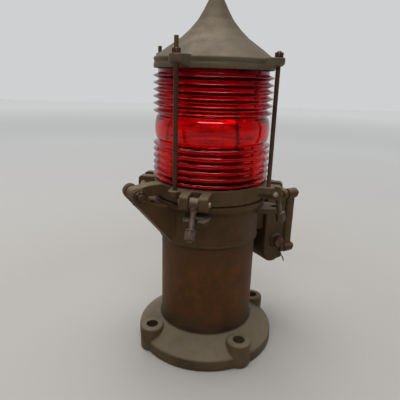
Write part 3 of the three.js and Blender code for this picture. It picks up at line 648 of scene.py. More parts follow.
tools.append(
    turned(
        "gasket_groove",
        [
            (GROOVE[0], SEAM_Z - 2.8), (GROOVE[1], SEAM_Z - 2.8), (GROOVE[1], SEAM_Z + 2),
            (GROOVE[0], SEAM_Z + 2),
        ],
        BROAD, ring=True,
    )
)
cut(collar, *tools)
finish_faces(collar, housing_bronze)
stand_for(collar, "housing", "bronze_body", "upper_housing")


# ---- Rubber seals: a moulded ring in the groove of the rim, flat rings above and below the globe, and
# the cut sheet behind the terminal box cover. Their CAD shapes are right and keep a rubber skin.


def mottled(name, scale, detail, edges, dark, light, rough):
    """A material whose colour and roughness both follow one noise."""
    made, tree, skin = blank(name)
    grain = node(tree, "TexNoise", Scale=scale, Detail=detail)
    tree.links.new(node(tree, "TexCoord").outputs["Object"], grain.inputs["Vector"])
    tone = blend_colours(tree, span(tree, grain.outputs[0], *edges), dark, light)
    tree.links.new(tone, skin.inputs["Base Color"])
    tree.links.new(span(tree, grain.outputs[0], 0.3, 0.7, *rough), skin.inputs["Roughness"])
    return made, grain


rubber, spots = mottled(
    "seal_rubber", 260.0, 5.0, (0.4, 0.65), (0.012, 0.012, 0.011, 1), (0.055, 0.052, 0.045, 1), (0.62, 0.9),
)
tree = rubber.node_tree
press = node(tree, "Bump", Strength=0.25, Distance=0.0004)
tree.links.new(spots.outputs[0], press.inputs["Height"])
tree.links.new(press.outputs[0], tree.nodes["Principled BSDF"].inputs["Normal"])
for name in ("seam_gasket", "lower_lens_gasket", "upper_lens_gasket", "cover_gasket"):
    nodes[name].data.materials.clear()
    nodes[name].data.materials.append(rubber)


# ---- Main hinge pin: a turned pin with its head at the far ear, and a washer and a bent split pin at
# the near ear. The rods and the nuts of the whole light share the two surfaces made here.
rod_bronze = bronze(
    "rod_bronze", (0.105, 0.062, 0.036), (0.050, 0.030, 0.018), (0.165, 0.062, 0.025),
    (0.17, 0.135, 0.095), (0.32, 0.23, 0.14), 0.6, 0.3, 0.6, 0.6, 0.25,
)
nut_bronze = bronze(
    "nut_bronze", (0.096, 0.058, 0.038), (0.046, 0.028, 0.018), (0.125, 0.052, 0.028),
    (0.24, 0.19, 0.145), (0.55, 0.43, 0.33), 0.6, 0.4, 0.9, 0.6, 0.2,
)


def along(obj, way, at, move=(0, 0, 0)):
    """Lays a body turned about Z along u or v of a direction, its height axis becoming that way."""
    lay = {
        "u": Matrix.Rotation(math.pi / 2, 4, "Y"), "v": Matrix.Rotation(-math.pi / 2, 4, "X"),
        "z": Matrix.Identity(4),
    }[way]
    obj.data.transform(
        Matrix.Rotation(math.radians(at), 4, "Z") @ Matrix.Translation(Vector(move) * MM) @ lay
    )


pin = spun(
    "main_hinge_pin",
    [
        (3, -EAR_OUT - 3.9), (7.4, -EAR_OUT - 3.5, 1.5), (7.4, -EAR_OUT - 0.4, 0.6),
        (HINGE_PIN_R, -EAR_OUT - 0.4, 0.1), (HINGE_PIN_R, EAR_OUT + 7.3, 1.4), (2, EAR_OUT + 7.4),
    ],
    0.5, 48,
)
along(pin, "v", HINGE_A, (HINGE_R, 0, HINGE_Z))
finish_faces(pin, nut_bronze)
stand_for(pin, "housing", "rod_bronze", "hinge_pin")


def washer(name, bore, outer, thick):
    """A stamped washer, one rim rolled by the die."""
    return turned(
        name,
        fillet([(bore, 0), (outer, 0, 0.2), (outer, thick, 0.7), (bore, thick, 0.3)], 0.3, closed=True),
        48, ring=True,
    )


plate = washer("main_hinge_washer", HINGE_PIN_R + 0.3, 8.9, 1.8)
along(plate, "v", HINGE_A, (HINGE_R, EAR_OUT + 0.35, HINGE_Z))
finish_faces(plate, nut_bronze)
stand_for(plate, "housing", "nut_bronze", "hinge_washer")


def wire(name, points, thick, sides=12):
    """A bent wire through the points, round in section, with its ends closed."""
    path = [Vector(p) for p in points]
    smooth = []
    for i in range(len(path) - 1):
        p0, p1, p2, p3 = path[max(i - 1, 0)], path[i], path[i + 1], path[min(i + 2, len(path) - 1)]
        for s in range(6):
            t = s / 6
            square = (2 * p0 - 5 * p1 + 4 * p2 - p3) * t * t
            cube = (3 * p1 - p0 - 3 * p2 + p3) * t ** 3
            smooth.append(0.5 * (2 * p1 + (p2 - p0) * t + square + cube))
    smooth.append(path[-1])
    verts, faces = [], []
    side = None
    for i, p in enumerate(smooth):
        run = (smooth[min(i + 1, len(smooth) - 1)] - smooth[max(i - 1, 0)]).normalized()
        side = (run.orthogonal() if side is None else side - side.dot(run) * run).normalized()
        other = run.cross(side)
        for k in range(sides):
            a = 2 * math.pi * k / sides
            verts.append(p + thick * (math.cos(a) * side + math.sin(a) * other))
    for i in range(len(smooth) - 1):
        for k in range(sides):
            j = (k + 1) % sides
            faces.append([i * sides + k, i * sides + j, (i + 1) * sides + j, (i + 1) * sides + k])
    faces += [list(range(sides))[::-1], list(range(len(verts) - sides, len(verts)))]
    return shape(name, verts, faces)


split_pin = wire(
    "main_hinge_split_pin",
    [
        (0.3, 0, -9.6), (0.25, 0, -6), (0, 0, 0), (0, 0, 5.6), (1.3, 0, 7.4), (0.2, 0, 9.0),
        (-1.2, 0, 7.4), (-0.2, 0, 5.9),
    ],
    0.72,
)
along(split_pin, "z", HINGE_A, (HINGE_R, EAR_OUT + 4.9, HINGE_Z))
finish_faces(split_pin, nut_bronze)
stand_for(split_pin, "housing", "nut_bronze", "hinge_cotter")


# ---- Terminal box: a round-bottomed cast box on the neck, a ribbed cover on four corner screws,
# a hexagon plug in the spare cable entry, and inside it a moulded block with three terminals.
head_bronze = bronze(
    "head_bronze", (0.128, 0.078, 0.038), (0.070, 0.044, 0.021), (0.096, 0.053, 0.023),
    (0.215, 0.178, 0.124), (0.31, 0.24, 0.15), 0.45, 0.8, 0.55,
)
BOX_OUT = BOX_IN + 42
BOX_TOP, BOX_ARC_Z, BOX_HALF = SEAM_Z - 10, SEAM_Z - 113, 33
BOX_MID, BOX_ARC = (BOX_IN + BOX_OUT) / 2, (BOX_OUT - BOX_IN) / 2
LUG_AT = [(s * 30, z) for z in (SEAM_Z - 112, SEAM_Z - 12) for s in (-1, 1)]
ENTRY = (BOX_MID + 3, SEAM_Z - 94)
BOX_TURN = Matrix.Rotation(math.radians(BOX_A), 4, "Z")
case = slab(
    "terminal_case",
    arc(BOX_MID, BOX_ARC_Z, BOX_ARC - INSET, range(180, 361, 9)) + [
        (BOX_OUT - INSET, BOX_TOP - 2.4), (BOX_OUT - 2.4, BOX_TOP - INSET), (BOX_IN + 5, BOX_TOP - INSET),
        (BOX_IN + 1.6, BOX_TOP - 1.6), (BOX_IN + INSET, BOX_TOP - 5),
    ],
    -BOX_HALF + INSET, BOX_HALF - INSET, "v", 2.4,
)
ears = [slab("lug", circle(v, z, 7.9, 32), BOX_OUT - 8.8, BOX_OUT - INSET, "u", 0.9) for v, z in LUG_AT]
ears.append(slab("entry_boss", circle(*ENTRY, 12.9, 48), -BOX_HALF - 4.9, -BOX_HALF + 3, "v", 1.2))
ears.append(
    slab(
        "tab",
        fillet(
            [
                (BOX_MID + 12, BOX_ARC_Z - 12), (BOX_OUT + 0.8, BOX_ARC_Z - 8.6),
                (BOX_OUT + 2.6, BOX_ARC_Z - 12), (BOX_OUT + 0.8, BOX_ARC_Z - 17.6),
                (BOX_MID + 12, BOX_ARC_Z - 19.6),
            ],
            1.6, closed=True,
        ),
        -BOX_HALF + 2.1, -BOX_HALF + 5.9, "v", 0.6,
    )
)
join(case, *ears)
sand_cast(case, 0.95, 4)
hollow = arc(BOX_MID, BOX_ARC_Z + 1.3, BOX_ARC - 5, range(180, 361, 12))
tools = [
    slab(
        "hollow",
        hollow + [(BOX_OUT + 3, BOX_ARC_Z + 1.3), (BOX_OUT + 3, BOX_TOP - 6), (BOX_IN + 5, BOX_TOP - 6)],
        -BOX_HALF + 6.6, BOX_HALF - 6.6, "v", 0,
    ),
    slab("wire_way", circle(0, WIRE_WAY_Z, WIRE_WAY_R, 40), BOX_IN - 2, BOX_IN + 8, "u", 0),
    slab("entry", circle(*ENTRY, 8, 40), -BOX_HALF - 8, -BOX_HALF + 8, "v", 0),
    slab("tab_hole", circle(BOX_OUT - 2, BOX_ARC_Z - 13, 1.6, 20), -BOX_HALF - 1, -BOX_HALF + 8, "v", 0),
] + [slab("tapping", circle(v, z, 3, 24), BOX_OUT - 8, BOX_OUT + 1, "u", 0) for v, z in LUG_AT]
cut(case, *tools)
case.data.transform(BOX_TURN)
finish_faces(case, head_bronze)
stand_for(case, "housing", "bronze_head", "terminal_box")

COVER = (BOX_OUT + 1.9, BOX_OUT + 18.4)
lid = slab(
    "terminal_cover",
    fillet(
        [
            (-BOX_HALF - 1.9, LUG_AT[0][1] - 2.9), (BOX_HALF + 1.9, LUG_AT[0][1] - 2.9),
            (BOX_HALF + 1.9, LUG_AT[3][1] + 2.9), (-BOX_HALF - 1.9, LUG_AT[3][1] + 2.9),
        ],
        7, 8, closed=True,
    ),
    COVER[0], COVER[1] - 0.4, "u", 3.0,
)
crown = slab(
    "crown",
    fillet(
        [
            (-BOX_HALF + 1.4, LUG_AT[0][1] + 3), (BOX_HALF - 1.4, LUG_AT[0][1] + 3),
            (BOX_HALF - 1.4, LUG_AT[3][1] - 3), (-BOX_HALF + 1.4, LUG_AT[3][1] - 3),
        ],
        10, 8, closed=True,
    ),
    COVER[0] + 4, COVER[1] - INSET, "u", 2.0,
)
knobs = [slab("knob", circle(v, z, 8.9, 40), COVER[0], COVER[1] + 2.9, "u", 1.6) for v, z in LUG_AT]
join(lid, crown, *knobs)
sand_cast(lid, 0.9, 4)
cut(
    lid,
    slab(
        "pocket",
        fillet(
            [
                (-BOX_HALF + 7, LUG_AT[0][1] + 12), (BOX_HALF - 7, LUG_AT[0][1] + 12),
                (BOX_HALF - 7, LUG_AT[3][1] - 12), (-BOX_HALF + 7, LUG_AT[3][1] - 12),
            ],
            5, closed=True,
        ),
        COVER[0] - 2, COVER[1] - 5, "u", 0,
    ),
    *[slab("bolt_way", circle(v, z, 3, 24), COVER[0] - 2, COVER[1] + 9, "u", 0) for v, z in LUG_AT],
)
lid.data.transform(BOX_TURN)
finish_faces(lid, head_bronze)
stand_for(lid, "housing", "bronze_head", "box_cover")


def hexagon(name, across, height, bore=0.0, low_cut=True):
    """A forged nut or bolt head: six flats, its corners turned off at the ends, bored or solid."""
    corner = across / math.cos(math.pi / 6)
    verts, rings = [], []
    ease = 0.16 * across
    levels = [
        (0, corner - 0.55 * ease if low_cut else corner),
        (0.25 * ease, corner - 0.2 * ease if low_cut else corner),
        (0.7 * ease, corner), (height - 0.8 * ease, corner), (height - 0.3 * ease, corner - 0.25 * ease),
        (height, corner - 0.85 * ease),
    ]
    sides = 60
    for z, reach in levels:
        rings.append(len(verts))
        for k in range(sides):
            a = 2 * math.pi * k / sides
            flat = across / math.cos((a % (math.pi / 3)) - math.pi / 6)
            r = min(flat, reach)
            verts.append((r * math.cos(a), r * math.sin(a), z))
    for z in (height, 0):
        rings.append(len(verts))
        for k in range(sides):
            a = 2 * math.pi * k / sides
            verts.append((max(bore, 0.01) * math.cos(a), max(bore, 0.01) * math.sin(a), z))
    rings.append(rings[0])
    faces = []
    for low, high in zip(rings, rings[1:]):
        for k in range(sides):
            j = (k + 1) % sides
            faces.append([low + k, low + j, high + j, high + k])
    return shape(name, verts, faces)


for n, (v, z) in enumerate(LUG_AT, 1):
    screw = hexagon(f"cover_bolt_{n}", 4.5, 3.4)
    join(screw, spun("shank", [(2.6, -27.6), (2.6, 1)], 0.3, 20))
    along(screw, "u", 0, (COVER[1] + 3.35, v, z))
    screw.data.transform(BOX_TURN)
    finish_faces(screw, nut_bronze, 25)
    stand_for(screw, "housing", "nut_bronze", f"cover_screw_{n}")

red_nut = bronze(
    "rusty_plug", (0.098, 0.034, 0.021), (0.042, 0.018, 0.012), (0.155, 0.052, 0.028),
    (0.12, 0.080, 0.056), (0.20, 0.12, 0.085), 0.7, 0.3, 0.4, 0.2, 0.5,
)
plug = hexagon("spare_entry_plug", 9.0, 6.6)
join(
    plug,
    spun("plug_thread", [(7.5, -11), (7.5, 1)], 0.5, 40),
    spun("plug_collar", [(11.6, 0, 0.6), (11.6, 2.4, 1.0)], 0.6, 48),
)
plug_at = Matrix.Translation(Vector((ENTRY[0], -BOX_HALF - 5.35, ENTRY[1])) * MM)
plug.data.transform(BOX_TURN @ plug_at @ Matrix.Rotation(math.pi / 2, 4, "X"))
finish_faces(plug, red_nut, 25)
stand_for(plug, "housing", "nut_bronze", "entry_plug")

u0, z0, v0 = BOX_OUT - 2, BOX_ARC_Z - 13, -BOX_HALF
tie = wire(
    "tab_split_pin",
    [
        (u0, v0 + 8.6, z0), (u0, v0 + 3, z0), (u0, v0 - 2.4, z0), (u0 + 1.0, v0 - 3.9, z0 - 2.4),
        (u0 + 2.6, v0 - 4.0, z0 - 6), (u0 + 4.4, v0 - 3.6, z0 - 10.2),
    ],
    1.05,
)
tie.data.transform(BOX_TURN)
finish_faces(tie, nut_bronze)
stand_for(tie, "housing", "nut_bronze", "tab_cotter")

moulding = mottled(
    "terminal_moulding", 120.0, 6.0, (0.35, 0.65), (0.018, 0.010, 0.007, 1), (0.060, 0.034, 0.022, 1),
    (0.32, 0.55),
)[0]
terminals = nodes["terminal_block"]
terminals.data.materials.clear()
terminals.data.materials.append(moulding)
bright_brass = bronze(
    "bright_brass", (0.62, 0.43, 0.19), (0.42, 0.27, 0.11), (0.30, 0.20, 0.11), (0.5, 0.42, 0.3),
    (0.80, 0.62, 0.34), 0.35, 0.15, 0.6, 0.9, 0.08,
)
for n, v in enumerate((-11.25, 1.25, 13.75), 1):
    screw = spun(f"terminal_brass_{n}", [(3.3, 0), (3.3, 1.2, 0.6), (1, 2.1, 0.4)], 0.3, 32)
    cut(screw, slab("driver_slot", [(-4, -0.4), (4, -0.4), (4, 0.4), (-4, 0.4)], 1.2, 3, "z", 0, 25 * n))
    along(screw, "u", 0, (BOX_IN + 15.35, v, SEAM_Z - 73))
    screw.data.transform(BOX_TURN)
    finish_faces(screw, bright_brass, 30)
    stand_for(screw, "housing", "bright_brass", f"terminal_screw_{n}")


# ---- Lens ring: the hinged bronze frame under the globe, with a knuckle for the main hinge, four pads
# that the tie rods screw into and four clevises for the swing bolts.
RING = (SEAM_Z + 0.45, SEAM_Z + 25)
RING_R, SEAT_R, LEDGE_Z = TUBE_R + 12, TUBE_R + 8, SEAM_Z + 17
ROD_CIRCLE, ROD_R, ROD_A = TUBE_R + 23, 3.2, 60.7
CLAMP_Z, CLEVIS_SLOT, CLEVIS_HALF = SEAM_Z + 11, 15, 20.5
PAD_T = 10.5
ring = turned(
    "lens_frame",
    fillet(
        [
            (BORE_R, RING[0] + INSET, 0.4), (RING_R - 2.6, RING[0] + INSET, 0.2),
            (RING_R - 2.6, RING[0] + 1.7, 0.2), (RING_R - INSET, RING[0] + 2.1, 0.6),
            (RING_R - INSET, RING[1] - INSET, 1.6), (SEAT_R - 2, RING[1] - INSET, 0.6),
            (SEAT_R - 2, LEDGE_Z + 1, 0.4), (BORE_R, LEDGE_Z + 1, 0.4),
        ],
        0.5,
        closed=True,
    ),
    BROAD,
    ring=True,
)
root = SEAT_R + 1
pads = [
    slab(
        "rod_pad",
        fillet(
            [
                (root, -14), (ROD_CIRCLE, -9.9, 6), (ROD_CIRCLE + 7.6, -6.2, 4), (ROD_CIRCLE + 9.9, 0, 4),
                (ROD_CIRCLE + 7.6, 6.2, 4), (ROD_CIRCLE, 9.9, 6), (root, 14),
            ],
            1, 6, closed=True,
        ),
        RING[1] - PAD_T + INSET, RING[1] - INSET, "z", 1.3, ROD_A + 90 * k,
    )
    for k in range(4)
]
pads += [
    slab(
        "clevis",
        fillet(
            [
                (root, RING[0] + 1), (CLAMP_CIRCLE + 8.8, RING[0] + 1.1, 7),
                (CLAMP_CIRCLE + 8.8, RING[1] - 2.2, 7), (root, RING[1] - 2.2),
            ],
            1, 6, closed=True,
        ),
        -CLEVIS_HALF + INSET, CLEVIS_HALF - INSET, "v", 1.6, a,
    )
    for a in CLAMP_AT
]
arm = slab(
    "hinge_arm",
    fillet(
        [
            (root, RING[0] + 7), (HINGE_R - 16, HINGE_Z - 4.3, 6), (HINGE_R, HINGE_Z - 8.8, 2),
            (HINGE_R + 1, HINGE_Z, 0), (HINGE_R, HINGE_Z + 8.8, 2), (HINGE_R - 20, RING[1] - 0.2, 8),
            (root, RING[1] - INSET),
        ],
        1, closed=True,
    ),
    -KNUCKLE_W / 2 + INSET, KNUCKLE_W / 2 - INSET, "v", 1.6, HINGE_A,
)
knuckle = slab(
    "knuckle", circle(HINGE_R, HINGE_Z, 9.9, 56), -KNUCKLE_W / 2 + INSET, KNUCKLE_W / 2 - INSET, "v", 1.2,
    HINGE_A,
)
join(ring, *pads, arm, knuckle)
sand_cast(ring, 1.0, 4)
tools = [
    slab(
        "clevis_slot",
        fillet(
            [
                (RING_R + 1.5, -CLEVIS_SLOT / 2, 3), (CLAMP_CIRCLE + 20, -CLEVIS_SLOT / 2),
                (CLAMP_CIRCLE + 20, CLEVIS_SLOT / 2), (RING_R + 1.5, CLEVIS_SLOT / 2, 3),
            ],
            0.1, 6, closed=True,
        ),
        RING[0] - 3, RING[1] + 3, "z", 0, a,
    )
    for a in CLAMP_AT
]
tools += [
    slab("pin_way", circle(CLAMP_CIRCLE, CLAMP_Z, 4.3, 32), -CLEVIS_HALF - 2, CLEVIS_HALF + 2, "v", 0, a)
    for a in CLAMP_AT
]
tools += [
    slab(
        "rod_tapping", circle(ROD_CIRCLE, 0, ROD_R + 0.3, 28), RING[1] - PAD_T - 3, RING[1] + 2, "z", 0,
        ROD_A + 90 * k,
    )
    for k in range(4)
]
hinge_bore = circle(HINGE_R, HINGE_Z, HINGE_PIN_R + 0.15, 40)
tools.append(slab("hinge_bore", hinge_bore, -KNUCKLE_W, KNUCKLE_W, "v", 0, HINGE_A))
tools.append(
    turned("globe_seat", [(0, LEDGE_Z), (SEAT_R, LEDGE_Z), (SEAT_R, RING[1] + 3), (0, RING[1] + 3)], BROAD)
)
cut(ring, *tools)
finish_faces(ring, head_bronze)
stand_for(ring, "head", "bronze_head", "lens_ring")


# ---- Roof: a cast bronze cone, hollow inside, drawn up to a point, its rim seated on the globe and
# its four lugs held by the tie rods.
LENS_H = 170
GLOBE = (LEDGE_Z + 4, LEDGE_Z + 4 + LENS_H)
ROOF_Z, ROOF_LEDGE = GLOBE[1] - 4, GLOBE[1] + 4
EAVES_R, CHANNEL_R = TUBE_R + 12.9, TUBE_R + 10.6
roof_bronze = bronze(
    "roof_bronze", (0.138, 0.104, 0.066), (0.096, 0.073, 0.047), (0.115, 0.072, 0.040),
    (0.128, 0.107, 0.079), (0.40, 0.31, 0.20), 0.4, 0.75, 0.9,
)
roof = turned(
    "roof",
    [(0, 525)]
    + fillet(
        [
            (16, 508), (33, 489), (47, 476), (64, 463, 6), (BORE_R + 1, ROOF_LEDGE, 1),
            (SEAT_R, ROOF_LEDGE, 0.4), (SEAT_R, ROOF_Z + INSET, 0.6), (EAVES_R, ROOF_Z + INSET, 1.2),
            (EAVES_R, ROOF_Z + 6.6, 1.2), (CHANNEL_R, ROOF_Z + 8.6, 1.0), (CHANNEL_R, ROOF_Z + 9.8, 1.0),
            (EAVES_R, ROOF_Z + 11.4, 0.8), (EAVES_R, ROOF_Z + 14.4, 1.6), (69, 470.1, 40), (52.5, 481.4, 3),
            (49, 483.9, 3), (37, 494.9, 30), (25.7, 507.9, 30), (17.7, 521.4, 30), (11.2, 533.9, 30),
            (6.4, 546.9, 30), (2.7, 560.5, 6),
        ],
        1.0,
        6,
    )
    + [(0, 565.6)],
    BROAD,
)
lugs = [
    slab(
        "roof_lug",
        fillet(
            [
                (SEAT_R + 1.5, -15.5), (ROD_CIRCLE - 5, -12, 8), (ROD_CIRCLE + 6.4, -8.6, 8),
                (ROD_CIRCLE + 8.9, 0, 8), (ROD_CIRCLE + 6.4, 8.6, 8),
                (ROD_CIRCLE - 5, 12, 8), (SEAT_R + 1.5, 15.5),
            ],
            1, 8, closed=True,
        ),
        ROOF_Z - 2, ROOF_Z + 16.9, "z", 3.0, ROD_A + 90 * k,
    )
    for k in range(4)
]
lug_side = fillet(
    [
        (SEAT_R, ROOF_Z + 0.8), (TUBE_R + 12.5, ROOF_Z + 0.8, 3), (ROD_CIRCLE + 3, ROOF_Z + 6.2, 6),
        (ROD_CIRCLE + 9.2, ROOF_Z + 9.5, 5), (ROD_CIRCLE + 9.2, ROOF_Z + 18), (SEAT_R, ROOF_Z + 18),
    ],
    0.5, 6, closed=True,
)
for k, lug in enumerate(lugs):
    merge(lug, [slab("lug_side", lug_side, -20, 20, "v", 0, ROD_A + 90 * k)], "INTERSECT")
join(roof, *lugs)
sand_cast(roof, 1.15, 4)
cut(
    roof,
    *[
        slab(
            "rod_way", circle(ROD_CIRCLE, 0, ROD_R + 0.3, 28), ROOF_Z - 2, ROOF_Z + 24, "z", 0,
            ROD_A + 90 * k,
        )
        for k in range(4)
    ],
)
finish_faces(roof, roof_bronze)
stand_for(roof, "head", "bronze_head", "cap")


# ---- Tie rods: four drawn bars, screwed into the ring and threaded at the top for a nut each.
# The threads are real helices, and the bars stand up past their nuts by different lengths.
def threaded_bar(name, radius, bottom, top, threads, pitch=1.1, sides=28):
    """A drawn bar with rolled threads between the given heights and a chamfer at each end."""
    verts, faces = [], []
    heights = [bottom, bottom + 0.5]
    z = bottom + 0.6
    while z < top - 0.6:
        in_thread = any(a <= z <= b for a, b in threads)
        heights.append(z)
        z += pitch / 5 if in_thread else 2.6
    heights += [top - 0.5, top]
    for i, z in enumerate(heights):
        cutting = any(a <= z <= b for a, b in threads) and 0 < i < len(heights) - 1
        for k in range(sides):
            a = 2 * math.pi * k / sides
            r = radius - 0.03
            if i in (0, len(heights) - 1):
                r = radius - 0.55
            elif cutting:
                r -= 0.42 * (0.5 + 0.5 * math.cos(2 * math.pi * z / pitch - a))
            verts.append((r * math.cos(a), r * math.sin(a), z))
    for i in range(len(heights) - 1):
        for k in range(sides):
            j = (k + 1) % sides
            faces.append([i * sides + k, i * sides + j, (i + 1) * sides + j, (i + 1) * sides + k])
    faces += [list(range(sides))[::-1], list(range(len(verts) - sides, len(verts)))]
    return shape(name, verts, faces)


for k, top in enumerate((31, 34, 38, 25)):
    a = ROD_A + 90 * k
    rod = threaded_bar(
        f"tie_bar_{k + 1}", ROD_R, RING[1] - PAD_T, ROOF_Z + top,
        [(RING[1] - PAD_T, RING[1] + 4), (ROOF_Z + 4, ROOF_Z + top)],
    )
    along(rod, "z", a, (ROD_CIRCLE, 0, 0))
    finish_faces(rod, rod_bronze, 60)
    stand_for(rod, "head", "rod_bronze", f"tie_rod_{k + 1}")
    nut = hexagon(f"tie_nut_{k + 1}", 5.7, 6.0, ROD_R + 0.12)
    along(nut, "z", a + 17 * k)
    x, y = arc(0, 0, ROD_CIRCLE, [a])[0]
    nut.data.transform(Matrix.Translation(Vector((x, y, ROOF_Z + 17.3)) * MM))
    finish_faces(nut, nut_bronze, 25)
    stand_for(nut, "head", "nut_bronze", f"rod_nut_{k + 1}")


# ---- Swing bolts: a forged eye on a clevis pin, a threaded shank, a washer and a hexagon nut. They hang
# slack, swung a little out of their forks, so that the head can be lifted.
BOLT_R = 4
bolt_bronze = bronze(
    "bolt_bronze", (0.118, 0.074, 0.048), (0.058, 0.037, 0.024), (0.14, 0.062, 0.032), (0.36, 0.29, 0.23),
    (0.52, 0.41, 0.31), 0.6, 0.8, 0.45, 0.4, 0.25,
)
for n, a in enumerate(CLAMP_AT, 1):
    low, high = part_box(f"clamp_nut_{n}")
    nut_at = (low + high) / 2
    out = Vector((math.cos(math.radians(a)), math.sin(math.radians(a)), 0))
    pivot = out * CLAMP_CIRCLE * MM + Vector((0, 0, CLAMP_Z * MM))
    swing = math.atan2((nut_at - pivot).dot(out), -(nut_at - pivot).z)
    hang = Matrix.Rotation(math.radians(a), 4, "Z") @ Matrix.Translation(
        Vector((CLAMP_CIRCLE, 0, CLAMP_Z)) * MM
    ) @ Matrix.Rotation(-swing, 4, "Y")
    drop = -CLAMP_Z  # heights below are measured from the pivot
    eye = slab(f"swing_eye_{n}", circle(0, 0, 8.5, 48), -6.9, 6.9, "v", 1.6)
    shank = threaded_bar(
        "shank", BOLT_R, FORK[0] - 19 + drop, -5, [(FORK[0] - 18.5 + drop, FORK[1] + 4 + drop)], 1.5, 32,
    )
    join(eye, spun("eye_root", [(4.05, -13), (5.6, -8, 3), (5.6, -4)], 1, 40), shank)
    cut(eye, slab("eye_bore", circle(0, 0, BOLT_R + 0.1, 36), -9, 9, "v", 0))
    eye.data.transform(hang)
    finish_faces(eye, bolt_bronze, 35)
    stand_for(eye, f"clamp_{n}", "rod_bronze", f"swing_bolt_{n}")
    plate = washer(f"clamp_plate_{n}", BOLT_R + 0.3, 7.5, 1.8)
    plate.data.transform(hang @ Matrix.Translation((0, 0, (FORK[0] - 3.3 + drop) * MM)))
    finish_faces(plate, bolt_bronze)
    stand_for(plate, f"clamp_{n}", "nut_bronze", f"clamp_washer_{n}")
    nut = hexagon(f"clamp_hexagon_{n}", 6.7, 11.6, BOLT_R + 0.12)
    nut.data.transform(hang @ Matrix.Translation((0, 0, (FORK[0] - 15.4 + drop) * MM)))
    finish_faces(nut, bolt_bronze, 25)
    stand_for(nut, f"clamp_{n}", "nut_bronze", f"clamp_nut_{n}")
    pin_end = CLEVIS_HALF + 2.1
    pin = spun(f"clevis_bar_{n}", [(3.9, -pin_end, 1.0), (3.9, pin_end, 1.0)], 1.0, 40)
    along(pin, "v", a, (CLAMP_CIRCLE, 0, CLAMP_Z))
    finish_faces(pin, nut_bronze)
    stand_for(pin, "head", "nut_bronze", f"clevis_pin_{n}")


# ---- Globe: one pressed ruby glass, six prism ribs above and below a smooth bulging belt. The colour
# lies in the body of the glass and fades out towards the thin tips of the ribs.
RIB_TIP, RIB_ROOT, GLASS_IN = TUBE_R + 13.5, TUBE_R + 5.9, TUBE_R + 0.5
belt = GLOBE[0] + 82.5
ribs_low = [285.5, 295, 304.5, 314.5, 324.5, 334]
ribs_high = [381.5, 392, 402, 411.5, 421, 431]


def rib(centre, half=4.2):
    """The profile of one prism rib."""
    return [
        (RIB_ROOT, centre - half), (RIB_TIP - 1.6, centre - 1.7, 0.9), (RIB_TIP, centre - 0.4, 0.9),
        (RIB_TIP, centre + 0.4, 0.9), (RIB_TIP - 1.6, centre + 1.7, 0.9), (RIB_ROOT, centre + half),
    ]


wall = [(GLASS_IN, GLOBE[0], 0.8), (RIB_ROOT - 0.3, GLOBE[0], 0.8)]
for c in ribs_low:
    wall += rib(c)
belt_side = [(0.3, 18.6, 1), (3.4, 15.2, 5), (4.9, 7.5, 12)]
wall += [(RIB_ROOT + out, belt - up, r) for out, up, r in belt_side] + [(RIB_ROOT + 5.2, belt, 20)]
wall += [(RIB_ROOT + out, belt + up, r) for out, up, r in belt_side[::-1]]
for c in ribs_high:
    wall += rib(c)
wall += [(RIB_ROOT - 0.3, GLOBE[1], 0.8), (GLASS_IN, GLOBE[1], 0.8)]
globe = turned("pressed_globe", fillet(wall, 0.8, 3, closed=True), 192, ring=True)
ruby, tree, skin = blank("pressed_ruby_glass")
skin.inputs["Transmission Weight"].default_value = 1.0
skin.inputs["IOR"].default_value = 1.44
skin.inputs["Specular Tint"].default_value = (1.0, 0.50, 0.52, 1)
where = node(tree, "TexCoord").outputs["Object"]
tip = span(tree, distance_off_axis(tree, where), (RIB_TIP - 1.5) * MM, (RIB_TIP + 0.1) * MM)
streaks = node(tree, "TexNoise", Scale=24.0, Detail=4.0)
grime = node(tree, "TexNoise", Scale=38.0, Detail=7.0)
waves = node(tree, "TexNoise", Scale=30.0, Detail=1.0)
for texture in (streaks, grime, waves):
    tree.links.new(where, texture.inputs["Vector"])
body_red = blend_colours(
    tree, span(tree, streaks.outputs[0], 0.35, 0.65), (0.67, 0.004, 0.010, 1), (0.78, 0.009, 0.014, 1),
)
level_of = node(tree, "SeparateXYZ")
tree.links.new(where, level_of.inputs[0])
# Painted shade: the red darkens towards the top of the globe, under the roof.
painted_roof_shade = span(tree, level_of.outputs["Z"], (GLOBE[1] - 66) * MM, (GLOBE[1] - 2) * MM)
body_red = blend_colours(tree, painted_roof_shade, body_red, (0.16, 0.002, 0.010, 1))
# The red is made paler and brighter below the belt.
paler_below_belt = span(tree, level_of.outputs["Z"], (belt - 12) * MM, (belt - 34) * MM)
body_red = blend_colours(tree, paler_below_belt, body_red, (0.93, 0.014, 0.014, 1))
tree.links.new(blend_colours(tree, tip, body_red, (0.62, 0.20, 0.25, 1)), skin.inputs["Base Color"])
above_belt = span(tree, level_of.outputs["Z"], (belt + 19) * MM, (belt + 17) * MM)
below_belt = span(tree, level_of.outputs["Z"], (belt - 19) * MM, (belt - 17) * MM)
fire_polish = span(tree, grime.outputs[0], 0.45, 0.75, 0.035, 0.11)
milky = maths(tree, "MULTIPLY", maths(tree, "MULTIPLY", above_belt, below_belt), 0.04)
tree.links.new(maths(tree, "ADD", fire_polish, milky), skin.inputs["Roughness"])
ripple = node(tree, "Bump", Strength=0.010, Distance=0.0010)
tree.links.new(waves.outputs[0], ripple.inputs["Height"])
tree.links.new(ripple.outputs[0], skin.inputs["Normal"])
finish_faces(globe, ruby, 60)
stand_for(globe, "head", "red_glass", "lens_globe")
